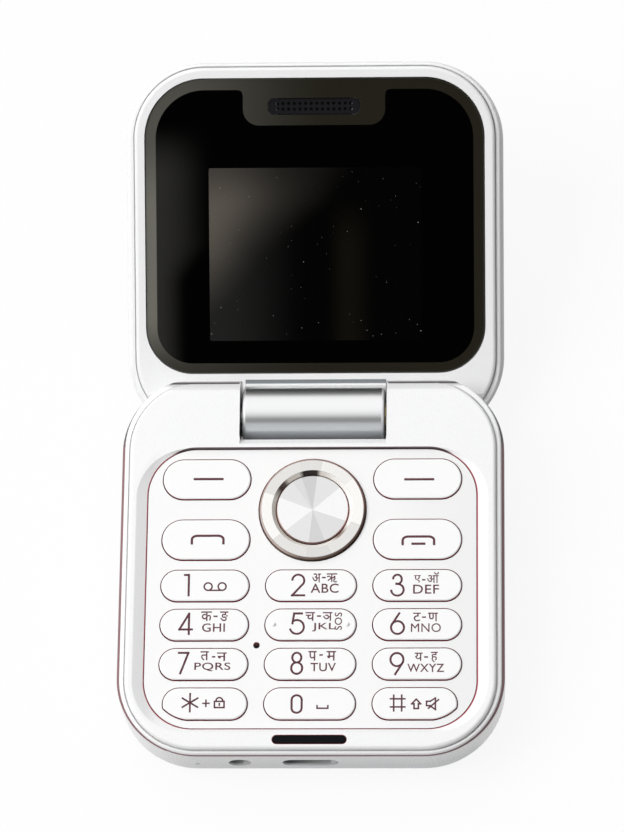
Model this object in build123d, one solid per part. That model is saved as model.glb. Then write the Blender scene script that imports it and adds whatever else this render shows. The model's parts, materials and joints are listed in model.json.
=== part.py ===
from build123d import *
from math import asin, atan2, cos, degrees, hypot, radians, sin
import os

# A square folding phone with a key pad in its base and a small display in its lid.
# Lengths are in millimetres. Both halves are drawn in a working frame whose origin is the
# middle of the hinge line: X runs to the right along the hinge, Y to the rear, and Z out of
# the keys. The lid is drawn folded out flat, with its display facing +Z, and is then turned
# about the hinge to its open stop. At the end the whole phone is set on the table: Z = 0 is
# the table and X = Y = 0 is the middle of the phone's box.

os.makedirs("parts", exist_ok=True)

# Both halves of the case
case_width = 63.4
case_reach = 59.5
case_corner = 13.3
outer_edge_round = 3.0
wall = 1.5
seam_round = 0.5
open_angle = 156.5
cut_overrun = 1.0
seat_clearance = 0.05
fit_clearance = 0.1

# Heights of the base, from the hinge line
shoulder_radius = 6.25
base_top = 5.4
bezel_thickness = 1.2
bezel_step = 0.85
ring_height = 0.75
bezel_side_inset = 1.4
bezel_end_inset = 0.8
groove_width = 0.2
groove_depth = 0.45
ring_side_inset = 0.5
ring_end_inset = 0.15
bezel_edge_round = 0.6
ring_edge_round = 0.35

# The gap between the shoulders that the hinge barrel turns in
notch_width = 24.3
notch_front = 5.25
notch_chamfer = 1.1
notch_wall = 1.5

# Key plate and its place in the front bezel
plate_side_margin = 4.65
plate_rear = 7.3
plate_front_margin = 4.35
plate_corner = 8.0
plate_drop = 0.45
plate_thickness = 1.05
plate_gap = 0.12
plate_flange = 0.5
plate_flange_thickness = 0.3
dish_side = 2.0
dish_end = 0.8
dish_rear = 0.15

# Keys
digit_row_count = 4
key_column_count = 3
key_side_margin = 2.445
key_front_margin = 1.43
key_column_gap = 2.79
key_row_gap = 1.407
centre_key_extra = 0.4
corner_key_shift = 0.35
corner_key_margin = 1.35
command_key_height = 6.85
soft_row_margin = 1.8
command_row_gap = 3.65
first_row_gap = 1.85
ring_key_gap = 1.5
key_proud = 0.35
key_gap = 0.18
key_flange = 0.4
key_flange_thickness = 0.4
key_edge_round = 0.25
key_rest_gap = 0.05
key_lift = 0.4
nub_radius = 0.35
nub_inset = 1.4

# Four-way ring and its centre button
ring_x = 0.1
ring_drop = 0.075
ring_radius = 8.7
ring_flat_inner = 6.7
ring_bore = 6.1
ring_gap = 0.25
ring_proud = 0.8
ring_flange = 0.6
ring_flange_thickness = 0.2
ring_skirt_inner = 7.35
ring_edge = 0.3
ring_bevel_depth = 0.7
rocker_gap = 0.25
pad_outer = 7.2
pad_inner = 6.6
pad_thickness = 0.3
select_radius = 5.95
select_proud = 0.25
select_dish = 0.12
select_flange = 0.4
select_flange_thickness = 0.3

# Layers under the keys
mat_thickness = 0.3
mat_side_inset = 1.95
mat_rear_inset = 1.2
mat_front_inset = 1.65
mat_corner = 6.5
plunger_radius = 1.1
plunger_length = 0.25
dome_radius = 2.0
dome_height = 0.25
dome_sheet_thickness = 0.1
board_thickness = 0.8
board_side_gap = 1.2
board_rear = 8.0
board_front_margin = 2.9
board_corner = 9.5
mic_drop = 0.09
mic_hole_radius = 0.55
mic_width = 3.0
mic_length = 2.2
mic_height = 0.35

# Posts and screws that hold the two shells of the base together
post_side_margin = 3.8
post_rear_y = -11.0
post_front_margin = 14.0
post_radius = 1.6
post_split = 0.0
screw_radius = 0.7
screw_grip = 2.4
screw_head_radius = 1.3
screw_head_height = 0.7
screw_slot_width = 0.35
screw_slot_depth = 0.3
screw_clearance = 0.08
pilot_extra = 0.5

# Rear housing, its deck, the battery and the cover
deck_thickness = 1.0
cover_thickness = 1.0
cover_side_inset = 3.3
cover_front_inset = 3.4
cover_rear = 9.0
cover_corner = 9.5
cover_rib_length = 7.0
cover_rib_width = 0.8
cover_rib_height = 0.7
cover_rib_spread = 18.0
thumb_radius = 5.0
thumb_depth = 0.45
battery_side_margin = 7.7
battery_front_margin = 16.9
battery_rear = 10.6
battery_thickness = 4.4
battery_corner = 1.2
battery_edge_round = 0.6
battery_gap = 0.3
well_wall = 0.9
contact_width = 1.2
contact_pitch = 2.6
contact_count = 3
contact_depth = 2.4
contact_x = -12.0
sim_width = 15.0
sim_x = 8.0
sim_rear_margin = 2.1
sim_gap = 2.4
sim_front_margin = 1.5
socket_height = 1.3
cage_skin = 0.18
card_width = 13.0
card_length = 12.0
card_side_margin = 2.0
card_front_margin = 3.1

# Sockets and openings in the front wall
usb_x = 0.0
usb_width = 9.0
usb_height = 3.2
usb_length = 7.4
usb_shell = 0.35
usb_tongue_thickness = 0.7
usb_tongue_width = 6.7
usb_z = -0.15
jack_x = -11.5
jack_z = -0.2
jack_radius = 1.8
jack_depth = 12.0
jack_body_width = 6.0
jack_body_height = 4.4
jack_body_length = 12.6
lace_hole_x = -18.4
lace_hole_z = -0.9
lace_hole_radius = 0.35
socket_setback = 0.15
bumper_length = 12.0
bumper_width = 1.4
bumper_front_margin = 2.35
bumper_depth = 0.8
bumper_proud = 0.15

# Loudspeaker and vibration motor in the base
speaker_side_margin = 7.2
speaker_front_margin = 9.9
speaker_usb_gap = 5.0
speaker_length = 9.0
speaker_height = 3.0
speaker_corner = 2.0
sound_slot_count = 5
sound_slot_pitch = 2.2
sound_slot_length = 6.0
sound_slot_width = 0.9
motor_gap = 0.6
motor_front_margin = 9.1
motor_radius = 4.0
motor_height = 2.7
motor_edge_round = 0.3

# Hinge
barrel_radius = 5.1
barrel_length = 23.7
barrel_edge_round = 0.6
saddle_width = 23.6
saddle_front = 5.15
saddle_fillet = 1.0
saddle_height = 3.2
cartridge_radius = 3.25
cartridge_wall = 0.6
cartridge_length = 12.2
cartridge_setback = 0.5
follower_length = 1.8
cam_gap = 0.3
cam_length = 1.8
cam_stem_radius = 1.6
cam_stem_reach = 4.5
spring_wire_radius = 0.3
spring_turns = 7
bushing_radius = 2.4
bushing_bore = 1.5
bushing_length = 7.5
bushing_reach = 3.2
bushing_bore_depth = 5.0
running_clearance = 0.05
flex_rod_radius = 1.1
flex_rod_reach = 18.0
flex_duct_width = 3.4
flex_width = 5.0
flex_thickness = 0.25
flex_slot_gap = 0.3

# Heights of the lid, from the hinge line away from the viewer
lid_face = 5.8
lid_thickness = 8.7
lid_heel = 3.6
lid_heel_round = 5.0
lid_scoop_radius = 6.85
lid_bezel_thickness = 1.9
lid_skin = 1.3

# Screen lens, display and earpiece
lens_side_margin = 3.2
lens_low = 7.3
lens_tip_margin = 2.7
lens_low_corner = 7.8
lens_high_corner = 10.0
lens_drop = 0.3
lens_thickness = 1.0
lens_edge_round = 0.2
lens_bed = 0.05
display_side_margin = 5.15
display_low = 9.9
display_tip_margin = 12.2
display_thickness = 2.2
display_corner = 1.2
earpiece_slot_width = 15.6
earpiece_slot_height = 2.8
earpiece_slot_margin = 4.7
earpiece_slot_corner = 1.0
earpiece_width = 12.0
earpiece_length = 5.0
earpiece_thickness = 2.0
earpiece_corner = 1.2
mesh_thickness = 0.2
mesh_setback = 0.35
mesh_hole_radius = 0.28
mesh_hole_pitch = 0.95
lid_board_side_inset = 1.35
lid_board_low = 12.0
lid_board_tip_margin = 9.8
lid_board_thickness = 0.8
lid_board_corner = 1.2
lid_board_gap = 0.3
lid_post_side_margin = 5.7
lid_post_low_y = 15.0
lid_post_tip_margin = 10.3
lid_post_radius = 1.6

# Camera on the outside of the lid
camera_x = 0.0
camera_tip_margin = 17.5
camera_bar_width = 22.0
camera_bar_length = 11.0
camera_bar_corner = 5.5
camera_bar_proud = 0.7
camera_bar_sink = 0.3
camera_offset = 5.5
camera_lens_radius = 3.3
camera_lens_thickness = 0.5
camera_body_width = 6.5
camera_body_height = 1.6
flash_radius = 1.7
flash_height = 1.0

# Heights that follow from the sizes above
ring_top = base_top - bezel_step
base_seam = ring_top - ring_height
plate_top = base_top - plate_drop
plate_bottom = plate_top - plate_thickness
key_top = plate_top + key_proud
key_bottom = plate_bottom - key_rest_gap - key_flange_thickness
mat_top = key_bottom - key_lift
mat_bottom = mat_top - mat_thickness
dome_top = mat_bottom - plunger_length - seat_clearance
board_top = dome_top - dome_height - dome_sheet_thickness
board_bottom = board_top - board_thickness
base_bottom = -shoulder_radius
deck_bottom = base_bottom + cover_thickness + seat_clearance
deck_top = deck_bottom + deck_thickness
battery_bottom = deck_bottom + fit_clearance
battery_top = battery_bottom + battery_thickness
lid_top = -lid_face
lid_bottom = lid_top - lid_thickness
lid_ring_top = lid_top - bezel_step
lid_seam = lid_ring_top - ring_height
lid_bezel_bottom = lid_top - lid_bezel_thickness
lens_top = lid_top - lens_drop
lens_bottom = lens_top - lens_thickness
display_top = lens_bottom - seat_clearance
display_bottom = display_top - display_thickness
lid_board_top = display_bottom - lid_board_gap
lid_board_bottom = lid_board_top - lid_board_thickness
lid_floor = lid_bottom + lid_skin

# Widths and places in the base that follow from the case
plate_width = case_width - 2 * plate_side_margin
plate_front = case_reach - plate_front_margin
key_room = plate_width - 2 * key_side_margin - (key_column_count - 1) * key_column_gap
side_key_width = (key_room - centre_key_extra) / key_column_count
centre_key_width = side_key_width + centre_key_extra
key_column_pitch = side_key_width / 2 + key_column_gap + centre_key_width / 2
command_key_width = plate_width / 2 - key_side_margin - ring_key_gap - ring_radius
command_key_x = plate_width / 2 - key_side_margin - command_key_width / 2
soft_row_y = -plate_rear - soft_row_margin - command_key_height / 2
call_row_y = soft_row_y - command_row_gap - command_key_height
ring_y = (soft_row_y + call_row_y) / 2 - ring_drop
digit_rear_y = call_row_y - command_key_height / 2 - first_row_gap
digit_room = plate_front - key_front_margin + digit_rear_y
digit_key_height = (digit_room - (digit_row_count - 1) * key_row_gap) / digit_row_count
key_row_pitch = digit_key_height + key_row_gap
first_row_y = digit_rear_y - digit_key_height / 2
mat_width = plate_width - 2 * mat_side_inset
mat_rear = plate_rear + mat_rear_inset
mat_front = plate_front - mat_front_inset
mic_x = -(centre_key_width + key_column_gap) / 2
mic_y = first_row_y - (digit_row_count - 1) * key_row_pitch / 2 - mic_drop
board_width = case_width - 2 * wall - 2 * board_side_gap
board_front = case_reach - board_front_margin
post_x = case_width / 2 - post_side_margin
post_front_y = post_front_margin - case_reach
battery_width = case_width - 2 * battery_side_margin
battery_length = case_reach - battery_rear - battery_front_margin
sim_room = battery_length - sim_rear_margin - sim_gap - sim_front_margin
sim_length = sim_room / 2
sim_rear_y = -battery_rear - sim_rear_margin - sim_length / 2
sim_front_y = sim_rear_y - sim_length - sim_gap
card_x = card_side_margin + card_width / 2 - battery_width / 2
card_y = card_front_margin + card_length / 2 - battery_rear - battery_length
bumper_y = bumper_front_margin - case_reach
speaker_width = case_width / 2 - speaker_side_margin - speaker_usb_gap - usb_width / 2
speaker_x = case_width / 2 - speaker_side_margin - speaker_width / 2
speaker_y = speaker_front_margin - case_reach
motor_x = jack_x - jack_body_width / 2 - motor_gap - motor_radius
motor_y = motor_front_margin - case_reach

# Widths and places in the lid that follow from the case
lens_width = case_width - 2 * lens_side_margin
lens_high = case_reach - lens_tip_margin
display_width = lens_width - 2 * display_side_margin
display_high = lens_high - display_tip_margin
earpiece_slot_y = lens_high - earpiece_slot_margin
lid_board_width = display_width - 2 * lid_board_side_inset
lid_board_high = lens_high - lid_board_tip_margin
lid_post_x = case_width / 2 - lid_post_side_margin
lid_post_high_y = lens_high - lid_post_tip_margin
camera_y = case_reach - camera_tip_margin


def outline(width, low, high, low_corner, high_corner, middle=0.0):
    """A rounded rectangle from y = low to y = high, with its own radius at each end."""
    plain = Pos(middle, (low + high) / 2) * Rectangle(width, high - low)
    corners = plain.vertices().group_by(Axis.Y)
    partly = fillet(corners[0], low_corner)
    return fillet(partly.vertices().group_by(Axis.Y)[-1], high_corner)


def slab(face, low, high):
    """A flat outline raised from z = low to z = high."""
    return Pos(0, 0, low) * extrude(face, amount=high - low)


def brick(width, length, low, high, x=0.0, y=0.0):
    """A box centred on x, y."""
    return Pos(x, y, (low + high) / 2) * Box(width, length, high - low)


def disc(radius, low, high, x=0.0, y=0.0):
    """An upright cylinder centred on x, y."""
    return Pos(x, y, (low + high) / 2) * Cylinder(radius, high - low)


def along_x(radius, low, high):
    """A cylinder about the hinge line, from x = low to x = high."""
    return Pos((low + high) / 2, 0, 0) * Rot(0, 90, 0) * Cylinder(radius, high - low)


def inward(radius, start, depth, x, z):
    """A cylinder that runs along +Y from y = start, as a hole in the front wall does."""
    return Pos(x, start + depth / 2, z) * Rot(90, 0, 0) * Cylinder(radius, depth)


def turned(points):
    """A solid turned about Z from its half section, given as radius and height."""
    section = make_face(Polyline(*points, close=True))
    return revolve(Plane.XZ * section, Axis.Z)


def stadium(width, height, x, y, grown=0.0):
    """The outline of a key with round ends."""
    return Pos(x, y) * SlotOverall(width + 2 * grown, height + 2 * grown)


def base_outline(side, front, rear):
    """The plan of the base, drawn in by side, front and rear."""
    corner = case_corner - side
    return outline(case_width - 2 * side, front - case_reach, shoulder_radius - rear, corner, corner)


def lid_outline(side, tip, heel):
    """The plan of the lid, drawn in by side, tip and heel."""
    corner = case_corner - side
    return outline(case_width - 2 * side, heel - lid_heel, case_reach - tip, corner, corner)


def shoulder_form(radius, top):
    """The base seen from the side: a flat block with a round rear end about the hinge line."""
    length = case_reach + cut_overrun
    width = case_width + 2 * cut_overrun
    flat = Pos(0, -length / 2, (top - radius) / 2) * Box(width, length, top + radius)
    return flat + along_x(radius, -width / 2, width / 2)


def notch():
    """The gap between the shoulders, with its bevelled front edge."""
    depth = notch_front + shoulder_radius + cut_overrun
    height = 2 * (shoulder_radius + cut_overrun)
    gap = Pos(0, depth / 2 - notch_front, 0) * Box(notch_width, depth, height)
    bevel_points = [
        (-notch_front + cut_overrun, base_top - notch_chamfer - cut_overrun),
        (-notch_front - notch_chamfer - cut_overrun, base_top + cut_overrun),
        (-notch_front + cut_overrun, base_top + cut_overrun),
    ]
    bevel_face = Plane.YZ * make_face(Polyline(*bevel_points, close=True))
    bevel = Pos(-notch_width / 2, 0, 0) * extrude(bevel_face, amount=notch_width)
    return gap + bevel


def top_edges(solid):
    """The edges round the highest flat face."""
    return solid.faces().sort_by(Axis.Z)[-1].edges()


def bottom_edges(solid):
    """The edges round the lowest flat face."""
    return solid.faces().sort_by(Axis.Z)[0].edges()


def pattern(shape, places):
    """One copy of the shape at each place, as one shape."""
    copies = [Pos(x, y, 0) * shape for x, y in places]
    return copies[0].fuse(*copies[1:]) if len(copies) > 1 else copies[0]


def screw(head_low, shank_high):
    """A cheese-head machine screw that points up, with a cross slot in its head."""
    head_high = head_low + screw_head_height
    body = disc(screw_head_radius, head_low, head_high) + disc(screw_radius, head_high, shank_high)
    slot_high = head_low + screw_slot_depth
    arm = 2 * screw_head_radius - 2 * screw_slot_width
    body -= brick(arm, screw_slot_width, head_low - cut_overrun, slot_high)
    return body - brick(screw_slot_width, arm, head_low - cut_overrun, slot_high)


def screw_hole(head_low, shank_high):
    """The counterbore and hole that a screw needs."""
    head_high = head_low + screw_head_height
    head = disc(screw_head_radius + screw_clearance, head_low - cut_overrun, head_high)
    return head + disc(screw_radius + screw_clearance, head_high, shank_high + pilot_extra)


# Base casing

key_plate_outline = outline(plate_width, -plate_front, -plate_rear, plate_corner, plate_corner)


def plate_grown(margin):
    """The plan of the key plate, grown by a margin."""
    corner = plate_corner + margin
    return outline(
        plate_width + 2 * margin, -plate_front - margin, -plate_rear + margin, corner, corner
    )


base_posts = [(x, y) for x in (-post_x, post_x) for y in (post_rear_y, post_front_y)]
base_screw_low = deck_bottom + fit_clearance
base_screw_high = post_split + screw_grip


def make_front_bezel():
    """The white frame round the keys."""
    plan = base_outline(bezel_side_inset, bezel_end_inset, bezel_side_inset)
    body = slab(plan, base_top - bezel_thickness, base_top)
    body = fillet(top_edges(body), bezel_edge_round)
    body &= shoulder_form(shoulder_radius, base_top)
    body -= slab(plate_grown(plate_gap), plate_bottom, plate_top)
    widened = outline(
        plate_width + 2 * dish_side,
        -plate_front - dish_end,
        -plate_rear + dish_rear,
        plate_corner + dish_end,
        plate_corner + dish_end,
    )
    body -= loft([Pos(0, 0, plate_top) * plate_grown(plate_gap), Pos(0, 0, base_top) * widened])
    body -= slab(widened, base_top, base_top + cut_overrun)
    recess = stadium(bumper_length, bumper_width, 0, bumper_y, seat_clearance)
    body -= slab(recess, base_top - bumper_depth, base_top + cut_overrun)
    return body - notch()


def make_mid_frame():
    """The thin hoop between the bezel and the rear housing, with the screw posts under it."""
    body = slab(base_outline(ring_side_inset, ring_end_inset, ring_end_inset), base_seam, ring_top)
    body = fillet(top_edges(body), ring_edge_round)
    body &= shoulder_form(shoulder_radius - ring_end_inset, base_top)
    bezel_bed = base_top - bezel_thickness - seat_clearance
    pocket = base_outline(
        bezel_side_inset - seat_clearance,
        bezel_end_inset - seat_clearance,
        bezel_side_inset - seat_clearance,
    )
    body -= slab(pocket, bezel_bed, ring_top + cut_overrun)
    groove = base_outline(
        bezel_side_inset - groove_width,
        bezel_end_inset - groove_width,
        bezel_side_inset - groove_width,
    )
    body -= slab(groove, ring_top - groove_depth, ring_top + cut_overrun)
    posts = pattern(disc(post_radius, post_split, base_seam + fit_clearance), base_posts)
    body += posts
    reach = plate_flange + fit_clearance
    body -= slab(plate_grown(reach), plate_bottom - plate_flange_thickness, ring_top)
    flange_low = key_bottom - fit_clearance
    body -= slab(plate_grown(0.0), flange_low, ring_top)
    body -= pattern(screw_hole(base_screw_low, base_screw_high), base_posts)
    return body - notch()


def make_rear_housing():
    """The tray that holds the board, the sockets, the battery and the hinge ends."""
    body = slab(base_outline(0, 0, 0), base_bottom, base_seam)
    body = fillet(bottom_edges(body), outer_edge_round)
    body = fillet(top_edges(body), seam_round)
    body &= shoulder_form(shoulder_radius, base_seam)
    inside = outline(
        case_width - 2 * wall,
        wall - case_reach,
        -notch_front - notch_wall,
        case_corner - wall,
        wall,
    )
    body -= slab(inside, deck_top, base_seam + cut_overrun)
    body -= slab(cover_outline(fit_clearance), base_bottom - cut_overrun, deck_bottom)
    body += slab(battery_outline(battery_gap + well_wall), deck_bottom, board_bottom - fit_clearance)
    body -= slab(battery_outline(battery_gap), base_bottom, board_bottom)
    body += pattern(disc(post_radius, deck_bottom, post_split), base_posts)
    body -= pattern(screw_hole(base_screw_low, base_screw_high), base_posts)
    body -= cover_ribs(fit_clearance)
    thumb_y = -cover_rear + fit_clearance
    body -= disc(thumb_radius, base_bottom - cut_overrun, base_bottom + thumb_depth, 0, thumb_y)
    body -= slab(sound_slots(), deck_bottom - cut_overrun, deck_top)
    body -= front_openings()
    body -= notch()
    outer = case_width / 2
    stem_end = -notch_width / 2 - cam_stem_reach - running_clearance
    body -= along_x(cam_stem_radius + running_clearance, stem_end, 0)
    bushing_end = notch_width / 2 + bushing_length - bushing_reach
    body -= along_x(bushing_radius + running_clearance, 0, bushing_end)
    duct_high = flex_rod_reach + fit_clearance
    body -= along_x(flex_duct_width / 2, 0, duct_high)
    duct_length = notch_front + notch_wall + cut_overrun
    duct_x = duct_high - flex_duct_width / 2
    duct = Pos(duct_x, -duct_length / 2, 0) * Box(flex_duct_width, duct_length, flex_duct_width)
    return body - duct


def cover_outline(grown):
    """The plan of the battery cover, grown by a clearance."""
    width = case_width - 2 * cover_side_inset + 2 * grown
    front = cover_front_inset - case_reach - grown
    corner = cover_corner + grown
    return outline(width, front, -cover_rear + grown, corner, corner)


def battery_outline(grown):
    """The plan of the battery, grown by a gap."""
    corner = battery_corner + grown
    return outline(
        battery_width + 2 * grown,
        -battery_rear - battery_length - grown,
        -battery_rear + grown,
        corner,
        corner,
    )


def cover_ribs(grown):
    """The four ribs that snap the cover into the deck, grown for their pockets."""
    rib = brick(
        cover_rib_length + 2 * grown,
        cover_rib_width + 2 * grown,
        deck_bottom - seat_clearance - grown,
        deck_bottom + cover_rib_height + grown,
    )
    front_y = cover_front_inset - case_reach + 2 * cover_rib_width
    rear_y = -cover_rear - cover_rib_width
    across = [-cover_rib_spread / 2, cover_rib_spread / 2]
    return pattern(rib, [(x, y) for x in across for y in (front_y, rear_y)])


def sound_slots():
    """The row of slots that lets the loudspeaker out."""
    slots = Sketch()
    for index in range(sound_slot_count):
        shift = (index - (sound_slot_count - 1) / 2) * sound_slot_pitch
        slots += Pos(speaker_x + shift, speaker_y) * SlotOverall(
            sound_slot_length, sound_slot_width, rotation=90
        )
    return slots


def usb_mouth(grown):
    """The mouth of the charging socket, grown by a clearance, along +Y from the front wall."""
    face = SlotOverall(usb_width + 2 * grown, usb_height + 2 * grown)
    return Pos(usb_x, -case_reach, usb_z) * Rot(90, 0, 0) * face


def front_openings():
    """What is cut through the front wall for the sockets and the small hole beside them."""
    cut = extrude(usb_mouth(seat_clearance), amount=-(wall + cut_overrun), both=True)
    start = -case_reach - cut_overrun
    depth = wall + 2 * cut_overrun
    cut += inward(jack_radius, start, depth, jack_x, jack_z)
    return cut + inward(lace_hole_radius, start, depth, lace_hole_x, lace_hole_z)


def make_battery_cover():
    """The plate over the battery, flush with the back of the base."""
    body = slab(cover_outline(0.0), base_bottom, base_bottom + cover_thickness)
    body += cover_ribs(0.0)
    return body - slab(sound_slots(), base_bottom - cut_overrun, deck_bottom)


# Keys

def key_outline(width, height, x, y, corner, grown):
    """The plan of one key; a corner key also follows the round corner of the plate."""
    shape = stadium(width, height, x, y, grown)
    return shape & plate_grown(grown - corner_key_margin) if corner else shape


def make_key(spec):
    """A key with its flange under the plate."""
    body = slab(key_outline(*spec, 0.0), key_bottom, key_top)
    body = fillet(top_edges(body), key_edge_round)
    rim = slab(key_outline(*spec, key_flange), key_bottom, key_bottom + key_flange_thickness)
    return body + rim


def row_y(row):
    """The middle of a row of number keys, counted from the hinge."""
    return first_row_y - row * key_row_pitch


digit_rows = [
    ("key_1", "key_2", "key_3"),
    ("key_4", "key_5", "key_6"),
    ("key_7", "key_8", "key_9"),
    ("key_star", "key_0", "key_hash"),
]

key_specs = {}
for row, names in enumerate(digit_rows):
    for column, name in enumerate(names):
        is_corner = name in ("key_star", "key_hash")
        width = centre_key_width if column == 1 else side_key_width
        width -= 2 * corner_key_shift if is_corner else 0
        x = (column - 1) * key_column_pitch
        x -= (column - 1) * corner_key_shift if is_corner else 0
        key_specs[name] = (width, digit_key_height, x, row_y(row), is_corner)

for name, side, y in [
    ("soft_key_left", -1, soft_row_y),
    ("soft_key_right", 1, soft_row_y),
    ("call_key", -1, call_row_y),
    ("end_key", 1, call_row_y),
]:
    key_specs[name] = (command_key_width, command_key_height, side * command_key_x, y, False)


def make_five_key():
    """The middle key, with the two small nubs that a finger finds."""
    spec = key_specs["key_5"]
    width, _, x, y, _ = spec
    body = make_key(spec)
    for side in (-1, 1):
        body += Pos(x + side * (width / 2 - nub_inset), y, key_top) * Sphere(nub_radius)
    return body


def make_named_key(name):
    """The key of that name; the hash key is the mirror image of the star key."""
    if name == "key_5":
        return make_five_key()
    if name == "key_hash":
        return mirror(make_key(key_specs["key_star"]), about=Plane.YZ)
    return make_key(key_specs[name])


def make_key_plate():
    """The plate round the keys, held under the bezel by its flange."""
    body = slab(key_plate_outline, plate_bottom, plate_top)
    body += slab(
        plate_grown(plate_flange),
        plate_bottom,
        plate_bottom + plate_flange_thickness,
    )
    low = plate_bottom - cut_overrun
    high = plate_top + cut_overrun
    for spec in key_specs.values():
        body -= slab(key_outline(*spec, key_gap), low, high)
    body -= disc(ring_radius + ring_gap, low, high, ring_x, ring_y)
    return body - disc(mic_hole_radius, low, high, mic_x, mic_y)


def make_nav_ring():
    """The four-way ring: a flat annulus with a bevel down to the centre button."""
    top = plate_top + ring_proud
    shelf = key_bottom + pad_thickness + rocker_gap
    flange_high = key_bottom + ring_flange_thickness
    points = [
        (ring_bore, shelf),
        (ring_skirt_inner, shelf),
        (ring_skirt_inner, key_bottom),
        (ring_radius + ring_flange, key_bottom),
        (ring_radius + ring_flange, flange_high),
        (ring_radius, flange_high),
        (ring_radius, top - ring_edge),
        (ring_radius - ring_edge, top),
        (ring_flat_inner, top),
        (ring_bore, top - ring_bevel_depth),
    ]
    return Pos(ring_x, ring_y, 0) * turned(points)


def make_nav_pad():
    """The rubber ring that the four-way ring rocks on."""
    body = disc(pad_outer, key_bottom, key_bottom + pad_thickness, ring_x, ring_y)
    low = key_bottom - cut_overrun
    return body - disc(pad_inner, low, key_top, ring_x, ring_y)


def make_select_button():
    """The centre button, very slightly dished."""
    top = plate_top + select_proud
    rim_high = key_bottom + select_flange_thickness
    points = [
        (0, key_bottom),
        (select_radius + select_flange, key_bottom),
        (select_radius + select_flange, rim_high),
        (select_radius, rim_high),
        (select_radius, top - select_dish),
        (select_radius - select_dish, top),
        (0, top - select_dish),
    ]
    return Pos(ring_x, ring_y, 0) * turned(points)


plunger_places = [(spec[2], spec[3]) for spec in key_specs.values()]
ring_dome_places = [
    (ring_x + step_x * ring_skirt_inner, ring_y + step_y * ring_skirt_inner)
    for step_x, step_y in [(1, 0), (-1, 0), (0, 1), (0, -1)]
]
dome_places = plunger_places + ring_dome_places + [(ring_x, ring_y)]


def mat_outline():
    """The plan of the silicone mat and the dome sheet."""
    return outline(mat_width, -mat_front, -mat_rear, mat_corner, mat_corner)


def make_keypad_mat():
    """The silicone mat, with one plunger over each dome and a hole for the microphone."""
    body = slab(mat_outline(), mat_bottom, mat_top)
    body += pattern(disc(plunger_radius, mat_bottom - plunger_length, mat_bottom), dome_places)
    return body - disc(mic_hole_radius, mat_bottom - cut_overrun, mat_top + cut_overrun, mic_x, mic_y)


def make_dome_sheet():
    """The sheet of snap domes on the board."""
    sheet_top = board_top + dome_sheet_thickness
    body = slab(mat_outline(), board_top, sheet_top)
    dome_points = [
        (0, sheet_top),
        (dome_radius, sheet_top),
        (dome_radius / 2, sheet_top + dome_height),
        (0, sheet_top + dome_height),
    ]
    body += pattern(turned(dome_points), dome_places)
    room_x = mic_width + 2 * fit_clearance
    room_y = mic_length + 2 * fit_clearance
    return body - brick(room_x, room_y, board_top - cut_overrun, mat_top, mic_x, mic_y)


def make_main_board():
    """The main circuit board, cut away for the posts and the sockets."""
    face = outline(board_width, -board_front, -board_rear, board_corner, wall)
    body = slab(face, board_bottom, board_top)
    low = board_bottom - cut_overrun
    high = board_top + cut_overrun
    body -= pattern(disc(post_radius + battery_gap, low, high), base_posts)
    for x, half, length in [
        (usb_x, usb_width, usb_length),
        (jack_x, jack_body_width, jack_body_length),
    ]:
        end = socket_setback + wall + length + fit_clearance
        room = end + cut_overrun
        body -= brick(half + 2 * fit_clearance, room, low, high, x, end - case_reach - room / 2)
    return body


def make_microphone():
    """The microphone can under its hole."""
    body = brick(mic_width, mic_length, board_top, board_top + mic_height, mic_x, mic_y)
    port_low = board_top + mic_height / 2
    return body - disc(mic_hole_radius / 2, port_low, board_top + 2 * mic_height, mic_x, mic_y)


def make_usb_socket():
    """The charging socket: a drawn shell round a tongue."""
    start = socket_setback + wall
    outer = extrude(usb_mouth(0.0), amount=-usb_length)
    inner = extrude(usb_mouth(-usb_shell), amount=-(usb_length - 2 * usb_shell))
    tongue_length = usb_length - usb_shell
    tongue = Pos(usb_x, tongue_length / 2 - case_reach, usb_z) * Box(
        usb_tongue_width, tongue_length, usb_tongue_thickness
    )
    tongue = Pos(0, usb_shell, 0) * tongue
    return Pos(0, start, 0) * (outer - inner + tongue)


def make_audio_jack():
    """The headphone socket, with its round bore."""
    start = socket_setback + wall - case_reach
    body = Pos(jack_x, start + jack_body_length / 2, jack_z) * Box(
        jack_body_width, jack_body_length, jack_body_height
    )
    body = chamfer(body.edges().filter_by(Axis.Y), fit_clearance)
    bore_depth = jack_depth - wall + cut_overrun
    return body - inward(jack_radius, start - cut_overrun, bore_depth, jack_x, jack_z)


def make_lid_bumper():
    """The soft strip that the closed lid lands on."""
    shape = stadium(bumper_length, bumper_width, 0, bumper_y)
    body = slab(shape, base_top - bumper_depth, base_top + bumper_proud)
    return fillet(top_edges(body), bumper_proud)


def make_loudspeaker():
    """The loudspeaker, face down over its slots."""
    low = speaker_y - speaker_length / 2
    high = speaker_y + speaker_length / 2
    face = outline(speaker_width, low, high, speaker_corner, speaker_corner, speaker_x)
    return slab(face, deck_top, deck_top + speaker_height)


def make_vibration_motor():
    """The flat vibration motor on the deck."""
    body = disc(motor_radius, deck_top, deck_top + motor_height, motor_x, motor_y)
    return fillet(body.edges().filter_by(GeomType.CIRCLE), motor_edge_round)


def make_battery():
    """The flat battery in its well."""
    body = slab(battery_outline(0.0), battery_bottom, battery_top)
    return fillet(body.edges().filter_by(Axis.Z, reverse=True), battery_edge_round)


def make_battery_contacts():
    """The block of three sprung contacts at the rear end of the battery, under the board."""
    high = board_bottom
    low = battery_top + fit_clearance
    y = -battery_rear - contact_depth / 2
    width = contact_pitch * contact_count
    block = brick(width, contact_depth, low, high, contact_x, y)
    for index in range(contact_count):
        x = contact_x + (index - (contact_count - 1) / 2) * contact_pitch
        block -= brick(contact_width, contact_depth / 2, low - cut_overrun, low + seat_clearance, x, y)
    return block


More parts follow.
